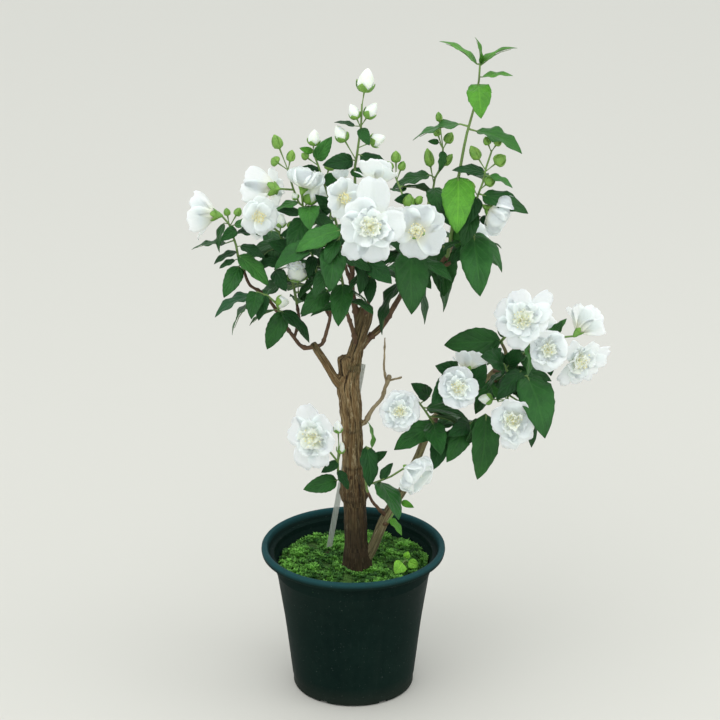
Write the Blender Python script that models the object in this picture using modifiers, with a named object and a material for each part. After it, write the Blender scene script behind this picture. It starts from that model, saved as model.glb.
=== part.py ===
"""Potted mock orange: a double-flowered Philadelphus grown as a little tree in a nursery pot.

Units are metres and +Z is up. The origin is the centre of the pot's underside, and the plant is seen
from -Y. Stems, leaves and flowers are placed by the pixel where one photograph shows them and by their
depth in millimetres behind the trunk: seen() turns the two into a point of the model.
"""

import math
import random
from collections import namedtuple

import bmesh
import bpy
from mathutils import Matrix, Vector
from mathutils.bvhtree import BVHTree

MM = 0.001

# Pot
RIM_DIAMETER = 180 * MM
POT_HEIGHT = 148 * MM
LIP_WIDTH = 9 * MM
LIP_HEIGHT = 7.5 * MM
NECK_RADIUS = 77.5 * MM
BASE_RADIUS = 59.5 * MM
WALL = 1.8 * MM
FLOOR = 2.6 * MM
RING_DROP = 25 * MM
DRAIN_HOLES = 6
DRAIN_RADIUS = 4.5 * MM
DRAIN_CIRCLE = 38 * MM
FOOT_SLOT = (8 * MM, 9 * MM, 5 * MM)
FOOT_EDGE = 11 * MM
ROUND_STEPS = 26
TRUNK_SIDES = 10

# Soil and what stands in it. The pixels are explained below, with the camera.
SOIL_EDGE = 127 * MM
SOIL_MOUND = 4 * MM
TRUNK_FOOT_DEPTH = 34 * MM
LABEL_WIDTH = 5.5 * MM
LABEL_THICKNESS = 0.9 * MM
LABEL_FOOT = (332, 532, 26)
LABEL_TOP = (363, 364, 20)
LABEL_DEPTH = 22 * MM
SEEDLING_FOOT = (405, 575, -18)
SEEDLING_HEIGHT = 12 * MM
SEEDLING_DEPTH = 8 * MM
SEEDLING_RADIUS = 1.1 * MM
SEEDLING_LEAF_TIPS = ((408, 552, -19), (418, 566, -20), (395, 572, -34))
GAP = 0.3 * MM

# The camera that took the photograph, found from the rim's ellipse and the shutter behind the plant
CAMERA = Vector((0.0066, -2.711, 1.4376))
PITCH = math.radians(22.0)
FOCAL_PIXELS = 3060.0
PHOTO_CENTRE = 360.0
RIGHT = Vector((1, 0, 0))
UP = Vector((0, math.sin(PITCH), math.cos(PITCH)))
TOWARD = Vector((0, -math.cos(PITCH), math.sin(PITCH)))
TRUNK_PIXEL = 357

# Leaves and petals
LEAF_ASPECT = 2.05
LEAF_KEEL = 1.3 * MM
LEAF_ARCH = 0.07
PETAL_KEEL = 1.2 * MM
STALK_RADIUS = 0.8 * MM
SMALL_BUD_RADIUS = 4.3 * MM
SINK = 0.4 * MM
FLAT_ENOUGH = math.radians(2)
SHARP_ANGLE = math.radians(35)
PEDICEL_RADIUS = 1.0 * MM
CALYX_RADIUS = 2.4 * MM
SHOOT_TIP_RADIUS = 0.9 * MM
MOST_LEAF_LEAN = math.radians(62)
MOST_LEAF_ROLL = math.radians(74)

# How far along the blade each row lies, and its half width as a share of the leaf's half width
LEAF_ROWS = ((0.0, 0.10), (0.36, 1.0), (0.72, 0.62), (1.0, 0.0))
SMALL_LEAF_ROWS = ((0.0, 0.14), (0.42, 1.0), (1.0, 0.0))
SMALL_LEAF_WIDTH = 14 * MM
SHORT_STALK = 5 * MM

# Each limb of the woody plant: pixel across, pixel down, depth in mm, diameter in mm
LIMBS = {
    "trunk": ((357, 572, -13, 31), (357, 556, -13, 28), (356, 540, -12, 23.5), (355, 506, -10, 22.5),
              (354, 495, -10, 27), (353, 483, -9, 25), (353, 466, -7, 21.5), (352, 430, -4, 20.5),
              (350, 400, -2, 22.5), (348, 385, 0, 23), (350, 371, 0, 21), (354, 358, 0, 16),
              (358, 342, 0, 14), (365, 317, -2, 15), (367, 306, -2, 13)),
    "knob": ((352, 372, 0, 13), (346, 364, -3, 12), (340, 357, -6, 10)),
    "left_branch": ((349, 392, -1, 10), (338, 383, -4, 9), (325, 362, -6, 8.2), (317, 350, -8, 7.8),
                    (313, 343, -8, 6.5)),
    "far_left": ((315, 346, -8, 5), (307, 348, -9, 4.2), (300, 345, -10, 3.8), (293, 336, -12, 3.6),
                 (287, 328, -12, 3.5), (275, 308, -6, 3.3), (262, 293, -3, 3.2), (250, 285, -5, 3),
                 (244, 271, -6, 2.8)),
    "low_left": ((288, 330, -12, 3), (284, 322, -18, 2.8), (281, 317, -23, 2.6)),
    "mid_left": ((294, 338, -12, 3.2), (299, 321, 0, 3), (297, 305, 9, 2.8)),
    "top_left": ((315, 346, -8, 4.4), (322, 344, -7, 3.6), (327, 330, -5, 3.4), (330, 317, -2, 3.2),
                 (329, 305, 4, 3), (322, 288, 12, 2.8)),
    "spike": ((356, 345, 0, 8), (358, 335, -2, 6.5), (357, 318, -2, 6), (352, 290, 0, 5.4),
              (353, 262, 6, 4.4), (355, 238, 9, 3.4)),
    "top_mid": ((352, 286, 0, 3.6), (346, 268, 10, 3.2), (341, 246, 16, 2.8)),
    "front_left": ((356, 343, -4, 5), (352, 328, -14, 4), (347, 313, -24, 3.4)),
    "centre": ((364, 318, -4, 5), (369, 300, -16, 3.6), (370, 287, -24, 3)),
    "right_limb": ((361, 346, 2, 9), (370, 337, 3, 6.4), (382, 326, 4, 5.8), (399, 298, 2, 5),
                   (405, 288, 1, 4.4)),
    "front_right": ((400, 297, 1, 4), (404, 287, -8, 3.4), (407, 277, -16, 3)),
    "tall": ((403, 291, 1, 5), (420, 278, 6, 4.4), (436, 268, 6, 4.2), (446, 257, 4, 3.8)),
    "mid_right": ((420, 278, 6, 3.4), (425, 266, 15, 3), (427, 256, 20, 2.8)),
    "right": ((436, 268, 6, 3.6), (450, 263, -1, 3), (459, 253, -6, 2.8)),
    "dead_twig": ((356, 423, -4, 8), (365, 422, -3, 5), (370, 413, 0, 4.2), (376, 405, 3, 3.8),
                  (382, 398, 5, 3.6), (385, 388, 6, 3.6), (388, 381, 6, 4.4), (389.5, 375, 6, 3.6)),
    "bare_twig": ((386.5, 383, 6, 2.6), (384, 367, 6, 2), (384.5, 355, 6, 1.8), (385, 338, 6, 1.5)),
    "bare_side": ((387, 381, 6, 2.4), (395, 379, 8, 2), (402, 377, 9, 1.7)),
    "second_stem": ((362, 563, -12, 13), (371, 550, -14, 11), (380, 530, -15, 10.4), (388, 512, -14, 10),
                    (396, 500, -10, 9.6), (404, 488, -4, 9.2), (412, 470, 2, 8.6), (421, 449, 6, 8),
                    (428, 430, 8, 7.6), (434, 418, 8, 7.2), (452, 405, 7, 6.6), (470, 395, 5, 6),
                    (488, 377, 2, 5.4), (503, 361, 0, 4.8), (506, 353, 0, 4), (502, 344, -1, 3.4)),
    "branch_right": ((503, 361, 0, 4), (513, 357, 0, 3.2), (521, 355, 0, 2.8)),
    "branch_fan": ((494, 371, 1, 4), (500, 370, -9, 3), (504, 369, -15, 2.6)),
    "branch_mid": ((466, 397, 5, 4), (468, 391, -6, 3), (467, 388, -14, 2.6)),
    "branch_low": ((436, 416, 8, 4), (437, 424, 0, 3), (439, 428, -8, 2.6)),
    "low_right": ((386, 516, -15, 5), (379, 509, -22, 3.2), (372, 501, -27, 2.9), (368, 492, -29, 2.6)),
    "foot_left": ((352, 478, -12, 6), (344, 481, -20, 3.4), (341, 480, -25, 2.8)),
    "sprout": ((383, 524, -15, 4), (387, 524, -27, 2.6), (388, 522, -33, 2.4)),
    "back_left": ((330, 317, -2, 3.2), (322, 303, 18, 3), (312, 290, 34, 2.6)),
    "back_mid": ((353, 274, 4, 4), (348, 262, 24, 3.2), (342, 250, 44, 2.6)),
    "back_centre": ((354, 252, 8, 3.6), (364, 244, 24, 3), (374, 236, 42, 2.6)),
    "back_right": ((402, 293, 2, 4), (406, 279, 22, 3.2), (410, 264, 42, 2.6)),
    "back_tall": ((446, 260, 4, 3.6), (450, 250, 22, 3), (454, 240, 38, 2.6)),
    "branch_back": ((488, 377, 2, 4), (492, 380, 14, 3), (496, 381, 26, 2.6)),
}

# Each leafy stem, named after the limb that carries it.
# line and sides: pixel across, pixel down, depth in mm.
# leaves: base across and down, tip across and down, width in pixels.
# buds: middle across and down, width and height in pixels, foot of its stalk across and down.
# blooms: name, middle across and down, depth in mm, radius in pixels, the way it faces as shares to the
# right, up and toward the camera, its form, and the foot of its stalk across and down.
SHOOTS = {
    "far_left": dict(
        line=((238, 256, -8), (236, 245, -9), (229, 224, -9)),
        leaves=((239, 266, 226, 297, 18), (240, 255, 272, 284, 16), (234, 225, 264, 223, 10),
                (224, 223, 217, 252, 8), (226, 243, 191, 247, 8), (236, 233, 268, 234, 8),
                (236, 229, 222, 240, 12), (240, 246, 266, 257, 10), (236, 252, 212, 263, 6),
                (235, 260, 219, 268, 6)),
        buds=((238, 212, 7, 9, 231, 226), (227, 212, 6, 8, 230, 223)),
        blooms=(("far_left", 206, 214, -8, 23, (-0.85, 0.10, -0.35), "cup", 229, 224),)),
    "low_left": dict(
        line=((277, 304, -27), (268, 296, -29), (257, 292, -29)),
        leaves=((255, 292, 249, 316, 18), (265, 293, 260, 318, 14), (284, 312, 267, 349, 20),
                (281, 311, 312, 340, 12), (257, 296, 228, 332, 6), (256, 295, 213, 313, 7)),
        buds=((282, 302, 12, 13, 274, 302),),
        blooms=()),
    "mid_left": dict(
        line=((293, 283, 10), (288, 262, 6), (284, 246, 2), (279, 232, -4)),
        sides=(((299, 292, 2),),),
        leaves=((296, 252, 271, 243, 18), (275, 270, 288, 290, 16), (284, 262, 262, 262, 12)),
        buds=((281, 221, 10, 14, 281, 234), (291, 225, 7, 8, 285, 240), (297, 272, 20, 20, 298, 290)),
        blooms=(("mid_left", 259, 217, -30, 19, (0.25, -0.15, 0.95), "open", 279, 232),)),
    "top_left": dict(
        line=((316, 270, 14), (311, 250, 12), (307, 228, 6), (304, 207, 0), (299, 203, 0),
              (293, 188, 0), (290, 178, 0), (288, 170, 0)),
        leaves=((297, 203, 271, 212, 8), (300, 214, 277, 210, 10), (309, 206, 312, 228, 22),
                (313, 256, 309, 278, 12), (305, 230, 282, 236, 14), (313, 240, 334, 232, 14)),
        buds=((277, 142, 10, 15, 286, 168), (275, 161, 10, 8, 288, 170), (291, 156, 8, 12, 289, 170),
              (312, 194, 15, 24, 304, 208), (295, 196, 7, 8, 301, 205)),
        blooms=(("top_left_out", 270, 188, -6, 25, (-0.72, 0.1, -0.65), "open", 293, 190),
                ("top_left_up", 306, 179, 6, 19, (0.25, 0.85, 0.1), "cup", 303, 206))),
    "front_left": dict(
        line=((345, 296, -32), (340, 268, -44), (337, 247, -52), (341, 230, -54)),
        sides=(((328, 290, -40),),),
        leaves=((334, 246, 332, 290, 27), (341, 284, 339, 325, 23), (327, 290, 300, 313, 22),
                (326, 300, 300, 315, 10), (340, 228, 293, 247, 20), (316, 243, 273, 268, 20)),
        buds=(),
        blooms=()),
    "top_mid": dict(
        line=((336, 222, 18), (329, 198, 15), (318, 165, 10), (313, 152, 10)),
        leaves=((316, 160, 331, 139, 15), (313, 150, 300, 146, 7), (324, 182, 344, 176, 14),
                (321, 172, 298, 170, 12), (333, 210, 318, 196, 16)),
        buds=((314, 138, 12, 16, 313, 152), (305, 156, 7, 8, 317, 166), (330, 165, 10, 12, 324, 184)),
        blooms=(("top_mid", 341, 176, -2, 10, (-0.10, 0.95, 0.25), "cup", 331, 202),)),
    "spike": dict(
        line=((356, 218, 10), (355, 190, 8), (355, 166, 4), (357, 155, 2), (359, 140, 0), (361, 127, 0),
              (362, 104, 0)),
        leaves=((355, 126, 334, 122, 6), (361, 128, 368, 146, 12), (353, 160, 325, 166, 17),
                (360, 155, 393, 176, 16), (350, 172, 371, 175, 10)),
        buds=((366, 81, 17, 24, 362, 106), (354, 112, 11, 16, 361, 128), (371, 111, 12, 18, 361, 126),
              (341, 134, 13, 18, 356, 160), (377, 140, 13, 16, 359, 148)),
        blooms=()),
    "centre": dict(
        line=((369, 268, -38), (367, 250, -50), (362, 236, -54)),
        leaves=((360, 258, 361, 295, 14), (372, 276, 372, 303, 14), (366, 262, 388, 284, 20),
                (354, 189, 357, 200, 8)),
        buds=(),
        blooms=(("centre_front", 370, 227, -88, 31, (0.05, -0.05, 1.0), "double", 366, 248),
                ("centre_left", 346, 198, -62, 19, (0.45, 0.10, 0.85), "cup", 362, 237),
                ("centre_up", 376, 180, -40, 20, (0.1, 0.85, -0.3), "open", 364, 238))),
    "front_right": dict(
        line=((410, 262, -26), (411, 244, -30), (409, 220, -20), (403, 196, -8), (396, 178, 0)),
        leaves=((412, 248, 408, 313, 35), (400, 282, 377, 333, 23), (412, 272, 426, 324, 14),
                (413, 198, 395, 201, 12), (404, 214, 384, 226, 12), (406, 208, 424, 196, 12)),
        buds=((396, 157, 9, 12, 396, 178), (389, 166, 8, 10, 396, 178), (402, 166, 7, 10, 397, 180),
              (409, 201, 11, 13, 407, 216), (419, 200, 7, 9, 408, 218)),
        blooms=(("front_right", 417, 231, -66, 25, (0.05, -0.05, 1.0), "open", 411, 246),)),
    "mid_right": dict(
        line=((428, 236, 20), (429, 206, 16), (432, 195, 14), (435, 178, 12), (442, 165, 10),
              (443, 149, 10)),
        leaves=((430, 175, 391, 188, 13), (443, 151, 439, 172, 9), (439, 142, 428, 142, 6),
                (444, 246, 445, 296, 27), (430, 246, 450, 311, 16), (430, 216, 412, 234, 14)),
        buds=((429, 158, 9, 19, 433, 184), (448, 160, 7, 14, 436, 178), (439, 117, 6, 10, 443, 149),
              (437, 132, 7, 9, 443, 149), (449, 138, 9, 12, 443, 149)),
        blooms=()),
    "tall": dict(
        line=((452, 230, 0), (455, 204, -2), (458, 180, -4), (464, 147, -4), (467, 133, -4),
              (474, 108, -4), (479, 80, -4), (480, 64, -4)),
        leaves=((477, 64, 441, 39, 7), (480, 63, 478, 36, 5), (482, 66, 517, 44, 6),
                (482, 77, 513, 75, 6), (478, 84, 479, 118, 25), (460, 124, 412, 138, 11),
                (476, 131, 522, 151, 13), (458, 177, 458, 232, 33), (455, 228, 478, 262, 20)),
        buds=(),
        blooms=()),
    "right": dict(
        line=((466, 232, -14), (474, 212, -16), (478, 195, -14), (483, 182, -12), (486, 168, -10),
              (492, 150, -8)),
        leaves=((474, 236, 480, 294, 33), (473, 233, 505, 270, 14), (482, 195, 527, 213, 20),
                (478, 197, 463, 227, 18), (483, 172, 450, 169, 12), (489, 176, 513, 187, 7),
                (481, 217, 492, 227, 9), (470, 222, 443, 222, 14), (468, 246, 452, 262, 12)),
        buds=((475, 153, 10, 16, 485, 170), (487, 141, 7, 9, 491, 152), (498, 142, 7, 9, 492, 152),
              (500, 160, 12, 13, 486, 172), (490, 181, 10, 12, 481, 190), (471, 185, 6, 12, 478, 196)),
        blooms=(("right", 498, 214, -22, 22, (0.82, -0.45, -0.15), "cup", 478, 200),)),
    "second_stem": dict(
        line=((504, 338, -8), (510, 330, -14), (514, 324, -18)),
        leaves=((500, 340, 443, 344, 27), (504, 337, 498, 318, 10), (507, 334, 527, 326, 14)),
        buds=(),
        blooms=(("branch_top", 523, 319, -52, 29, (0.10, 0.05, 1.0), "double", 512, 328),)),
    "branch_right": dict(
        line=((528, 352, -4), (538, 349, -8), (552, 345, -8), (560, 337, -6)),
        leaves=((527, 344, 529, 380, 10), (556, 334, 566, 318, 7), (545, 352, 552, 376, 12),
                (548, 340, 562, 322, 8)),
        buds=(),
        blooms=(("branch_near", 548, 350, -46, 20, (0.0, 0.05, 1.0), "double", 537, 350),
                ("branch_far_up", 583, 326, -4, 18, (0.55, 0.60, -0.35), "cup", 560, 338),
                ("branch_far", 581, 362, -20, 28, (0.55, -0.40, 0.75), "double", 556, 344))),
    "branch_fan": dict(
        line=((509, 373, -22), (512, 382, -26), (511, 392, -30), (506, 400, -34)),
        leaves=((504, 364, 480, 358, 25), (521, 371, 497, 397, 20), (527, 376, 546, 432, 36),
                (508, 366, 518, 346, 16), (498, 402, 491, 382, 5), (520, 402, 534, 447, 10)),
        buds=((486, 399, 11, 14, 500, 402), (503, 392, 9, 10, 507, 400)),
        blooms=(("branch_low_right", 513, 421, -62, 24, (0.05, -0.15, 1.0), "double", 508, 398),)),
    "branch_mid": dict(
        line=((466, 384, -22), (464, 378, -26)),
        leaves=((455, 378, 432, 402, 24), (470, 386, 484, 366, 22), (458, 372, 438, 368, 20)),
        buds=(),
        blooms=(("branch_mid_front", 458, 388, -56, 20, (0.10, 0.05, 1.0), "double", 465, 381),
                ("branch_mid_back", 470, 367, -24, 19, (0.3, 0.75, -0.4), "open", 464, 379))),
    "branch_low": dict(
        line=((441, 432, -14), (434, 424, -20), (424, 409, -26), (417, 400, -30)),
        sides=(((452, 434, -18), (470, 424, -20), (486, 414, -18)),),
        leaves=((430, 396, 412, 386, 16), (438, 424, 394, 450, 22), (468, 426, 446, 459, 22),
                (444, 432, 433, 469, 20), (487, 415, 479, 481, 30), (478, 418, 466, 444, 15),
                (470, 422, 450, 434, 18)),
        buds=(),
        blooms=(("branch_low_left", 400, 411, -58, 20, (-0.05, 0.0, 1.0), "open", 420, 404),)),
    "low_right": dict(
        line=((366, 482, -30), (365, 466, -32), (368, 448, -32)),
        sides=(((374, 483, -36), (382, 480, -40), (392, 476, -42)),),
        leaves=((372, 448, 370, 421, 5), (366, 446, 371, 487, 17), (381, 480, 392, 462, 9),
                (380, 482, 396, 516, 26), (368, 460, 386, 452, 12)),
        buds=(),
        blooms=(("low_right", 413, 473, -62, 20, (0.45, -0.35, 0.85), "cup", 391, 476),)),
    "foot_left": dict(
        line=((338, 472, -32), (338, 458, -36), (339, 446, -38)),
        leaves=((338, 462, 322, 472, 10), (337, 480, 304, 488, 18), (340, 470, 350, 490, 9)),
        buds=((338, 427, 9, 13, 339, 447), (341, 448, 8, 12, 338, 464)),
        blooms=(("foot_left", 312, 438, -58, 30, (-0.45, -0.05, 0.90), "double", 338, 462),)),
    "sprout": dict(
        line=((391, 517, -38), (397, 508, -40), (402, 501, -40)),
        leaves=((402, 502, 414, 507, 7), (391, 519, 403, 536, 8), (400, 504, 396, 492, 6)),
        buds=(),
        blooms=()),
}

# Shoots on the far side, which grow by a rule: line in pixels and depth, and whether a bloom ends it
BACK_SHOOTS = {
    "back_left": (((304, 272, 44), (286, 250, 56), (268, 226, 62)), True),
    "back_mid": (((336, 236, 54), (330, 216, 66), (334, 200, 72)), True),
    "back_centre": (((381, 234, 54), (388, 232, 66), (394, 236, 74)), True),
    "back_right": (((416, 246, 54), (426, 218, 66), (430, 190, 74)), False),
    "back_tall": (((460, 236, 48), (466, 238, 60), (468, 244, 68)), True),
    "branch_back": (((508, 374, 36), (522, 358, 46), (534, 338, 52)), True),
}
BACK_LEAF = (44 * MM, 21 * MM)
BACK_BLOOM_RADIUS = 21

# Whorls of petals of each form of bloom: how many petals, their rise above the flower's plane in degrees,
# and their share of its radius
FORMS = {
    "double": ((7, 20, 1.0), (5, 52, 0.70)),
    "open": ((5, 24, 1.0), (3, 55, 0.55)),
    "cup": ((5, 50, 1.1), (3, 68, 0.75)),
}
# The edge of one petal: share of its turn, share of its length, lift as a share of its length. One side
# lies low and the other high, so that each petal laps its neighbour.
BROAD_LOBE = ((0.05, 0.80, -0.05), (0.42, 1.04, 0.0), (0.84, 0.88, 0.09))
NARROW_LOBE = ((0.10, 0.84, -0.04), (0.62, 1.0, 0.06))

Piece = namedtuple("Piece", "node kind shape beads tree middle reach")
Blade = namedtuple("Blade", "root base axis face length half_width rows keel arch")
Whorl = namedtuple("Whorl", "origin facing turn count lobe length rise curl keel belly")


def seen(across, down, depth):
    """The point at this depth in millimetres behind the trunk that the photograph shows at this pixel."""
    ray = RIGHT * ((across - PHOTO_CENTRE) / FOCAL_PIXELS) - TOWARD
    ray -= UP * ((down - PHOTO_CENTRE) / FOCAL_PIXELS)
    return CAMERA + ray * ((depth * MM - CAMERA.y) / ray.y)


def picture(point):
    """The pixel at which the photograph shows this point."""
    sight = point - CAMERA
    scale = FOCAL_PIXELS / -sight.dot(TOWARD)
    return PHOTO_CENTRE + scale * sight.dot(RIGHT), PHOTO_CENTRE - scale * sight.dot(UP)


def pixel_size(point):
    return -(point - CAMERA).dot(TOWARD) / FOCAL_PIXELS


def in_view(shares):
    """A direction given as shares to the right, up and toward the camera."""
    return (RIGHT * shares[0] + UP * shares[1] + TOWARD * shares[2]).normalized()


def nearest_on(line, across, down):
    """The point of a line that the photograph shows nearest to a pixel."""
    target = Vector((across, down))
    best = None
    for start, end in zip(line, line[1:]):
        near, far = Vector(picture(start)), Vector(picture(end))
        run = far - near
        share = min(max((target - near).dot(run) / max(run.length_squared, 1e-9), 0.0), 1.0)
        miss = (near + run * share - target).length
        if best is None or miss < best[0]:
            best = (miss, start.lerp(end, share))
    return best[1]


def limb_line(name):
    """The points and radii of a limb. The trunk's foot goes straight down into the soil."""
    points = [seen(*values[:3]) for values in LIMBS[name]]
    radii = [values[3] * MM / 2 for values in LIMBS[name]]
    if name == "trunk":
        foot = Vector((points[0].x, points[0].y, SOIL_EDGE - TRUNK_FOOT_DEPTH))
        points[0].z = SOIL_EDGE
        points.insert(0, foot)
        radii.insert(0, radii[0])
    return points, radii


def shoot_start(name):
    """The first two points of a leafy stem, square to the end of its limb, and its radius there."""
    points, radii = limb_line(name)
    way = (points[-1] - points[-2]).normalized()
    return [points[-1] + way * GAP, points[-1] + way * 3 * MM], radii[-1]


def tapered(line, first, last):
    """A radius for each point of a line, from the first to the last."""
    runs = [0.0]
    for start, end in zip(line, line[1:]):
        runs.append(runs[-1] + (end - start).length)
    return [first + (last - first) * run / runs[-1] for run in runs]


def square_to(way, side, face):
    """The side and upper directions nearest to a blade's own that are square to a way."""
    across = side - way * side.dot(way)
    if across.length < 0.35:
        across = way.cross(face)
    across.normalize()
    return across, across.cross(way)


def blade_rows(blade, swell=0.0):
    """Left edge, right edge and keel at each row of a leaf, swelled by an amount."""
    side = blade.axis.cross(blade.face)
    stalk = blade.base - blade.root
    way = (stalk + blade.axis * 0.1 * MM).normalized()
    rows = [(blade.root - way * SINK, STALK_RADIUS, way)]
    first = (way + blade.axis * 1.01).normalized()
    for share, width in blade.rows[stalk.length < SHORT_STALK:]:
        lift = blade.arch * 4 * share * (1 - share) * blade.length
        middle = blade.base + blade.axis * share * blade.length + blade.face * lift
        rows.append((middle, width * blade.half_width, blade.axis if share else first))
    solid = []
    for middle, half, way in rows:
        across, upper = square_to(way, side, blade.face)
        edge = across * (half + swell)
        top = middle + upper * swell
        solid.append((top + edge, top - edge, middle - upper * (blade.keel + swell)))
    return solid


def blade_mesh(blade, swell=0.0):
    """Points and faces of a blade with a thin wedge for its section. Its last row is its tip."""
    rows = blade_rows(blade, swell)
    left, right, keel = rows.pop()
    points = [point for row in rows for point in row] + [(left + right) / 2]
    tip = len(points) - 1
    faces = [(0, 1, 2)]
    for row in range(len(rows) - 1):
        a, b, c, d, e, f = range(row * 3, row * 3 + 6)
        faces += [(a, d, e), (a, e, b), (b, e, f), (b, f, c), (c, f, d), (c, d, a)]
    a, b, c = tip - 3, tip - 2, tip - 1
    faces += [(a, tip, b), (b, tip, c), (c, tip, a)]
    return points, faces


def whorl_mesh(whorl, swell=0.0):
    """Points and faces of a ring of petals or sepals grown together at the middle.

    The rim is one sharp ring. Between it and the middle a belly ring, where there is one, gives the
    petals their thickness and their curl.
    """
    across = whorl.facing.orthogonal().normalized()
    around = whorl.facing.cross(across)
    rim, upper, lower = [], [], []
    for petal in range(whorl.count):
        for turn, share, lift in whorl.lobe:
            angle = (petal + turn + whorl.turn) * math.tau / whorl.count
            out = across * math.cos(angle) + around * math.sin(angle)
            way = out * math.cos(whorl.rise) + whorl.facing * math.sin(whorl.rise)
            over = whorl.facing * math.cos(whorl.rise) - out * math.sin(whorl.rise)
            length = whorl.length * share
            rim.append(whorl.origin + way * (length + swell) + over * (lift + whorl.curl) * length)
            middle = whorl.origin + way * length * whorl.belly + over * lift * length * 0.5
            upper.append(middle + over * swell)
            lower.append(middle - over * (whorl.keel + swell))
    number = len(rim)
    points = rim + [whorl.origin + whorl.facing * swell]
    points.append(whorl.origin - whorl.facing * (whorl.keel + swell))
    top, bottom = number, number + 1
    faces = []
    if whorl.belly:
        points += upper + lower
    for here in range(number):
        after = (here + 1) % number
        if not whorl.belly:
            faces += [(top, here, after), (bottom, after, here)]
            continue
        for pole, start in ((top, number + 2), (bottom, 2 * number + 2)):
            faces += [(pole, start + here, start + after), (start + here, here, after),
                      (start + here, after, start + after)]
    return points, faces


def beads_along(line, radii):
    """Balls along a tube, close enough together to stand for it."""
    beads = []
    for start, end, near, far in zip(line, line[1:], radii, radii[1:]):
        steps = max(1, math.ceil((end - start).length / (1.6 * MM)))
        for step in range(steps + 1):
            share = step / steps
            beads.append((start.lerp(end, share), near + (far - near) * share))
    return beads


def make_piece(node, kind, shape, beads=(), meshes=()):
    """A placed piece with what a test for touching needs: balls for a tube, or a tree for blades."""
    tree = None
    spots = [centre for centre, _ in beads]
    if meshes:
        points, faces = [], []
        for more, rings in meshes:
            faces += [tuple(index + len(points) for index in ring) for ring in rings]
            points += more
        tree = BVHTree.FromPolygons(points, faces)
        spots = points
    middle = sum(spots, Vector()) / len(spots)
    reach = max((spot - middle).length for spot in spots) + max((r for _, r in beads), default=0.0)
    return Piece(node, kind, shape, beads, tree, middle, reach)


def touches(one, other, gap=0.4 * MM):
    if (one.middle - other.middle).length > one.reach + other.reach + gap:
        return False
    if one.tree and other.tree:
        return bool(one.tree.overlap(other.tree))
    if one.tree or other.tree:
        tree, beads = (one.tree, other.beads) if one.tree else (other.tree, one.beads)
        return any(tree.find_nearest(centre, radius + gap)[0] for centre, radius in beads)
    return any((a - b).length < r + s + gap for a, r in one.beads for b, s in other.beads)


def clear_of(piece, others):
    return not any(touches(piece, other) for other in others)


def tube(node, kind, line, radii):
    return make_piece(node, kind, (line, radii), beads=beads_along(line, radii))


def whorls_of(origin, facing, radius, form, seed):
    """The whorls of a bloom, the outer one first. The inner one starts a little above it."""
    draw = random.Random(seed)
    whorls = []
    for level, (count, rise, share) in enumerate(FORMS[form]):
        lobe = NARROW_LOBE if level or form == "double" else BROAD_LOBE
        lift = math.radians(rise + draw.uniform(-4, 4))
        length = radius * share / math.cos(math.radians(min(rise, 40)))
        curl = 0.10 if form == "cup" else -0.04
        belly = 0.0 if level else 0.55
        whorls.append(Whorl(origin + facing * level * 0.6 * MM, facing, draw.random(), count, lobe, length,
                            lift, curl, PETAL_KEEL, belly))
    return whorls


def place_bloom(shoot, values, placed, seed):
    """A bloom at its pixel. It slides along the line of sight until it is clear of what is placed."""
    name, across, down, depth, radius_pixels, shares, form = values[:7]
    facing = in_view(shares)
    steps = sorted(range(-16, 17), key=lambda step: (abs(step), step))
    for step in steps:
        middle = seen(across, down, depth + 3 * step)
        radius = radius_pixels * pixel_size(middle)
        origin = middle - facing * radius * (0.45 if form == "cup" else 0.22)
        whorls = whorls_of(origin, facing, radius, form, seed)
        meshes = [whorl_mesh(whorl, 0.5 * MM) for whorl in whorls]
        piece = make_piece("bloom_" + name, "bloom", (origin, facing, whorls), meshes=meshes)
        if clear_of(piece, placed):
            break
    else:
        print("bloom", name, "touches a neighbour")
    return piece


def place_stalk(node, line, origin, facing, foot, placed):
    """The stalk from a leafy stem to a bloom, bowed aside until it is clear. It widens to the calyx."""
    start = nearest_on(line, *foot)
    top = origin - facing * (PETAL_KEEL + GAP)
    low = top - facing * 5 * MM
    side = facing.orthogonal().normalized()
    start -= (low - start).normalized() * SINK
    for bow in (0, 5, 9, 14):
        for turn in range(8 if bow else 1):
            aside = Matrix.Rotation(math.tau * turn / 8, 3, facing) @ side * bow * MM
            bend = start.lerp(low, 0.6) + aside - facing * bow * MM * 0.4
            path = [start, bend, low] if bow else [start, low]
            radii = [PEDICEL_RADIUS] * len(path)
            shape = (path + [top], radii + [CALYX_RADIUS])
            piece = make_piece(node, "stalk", shape, beads=beads_along(path, radii))
            if clear_of(piece, placed):
                return piece
    print("stalk to", node, "touches a neighbour")
    return piece


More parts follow.
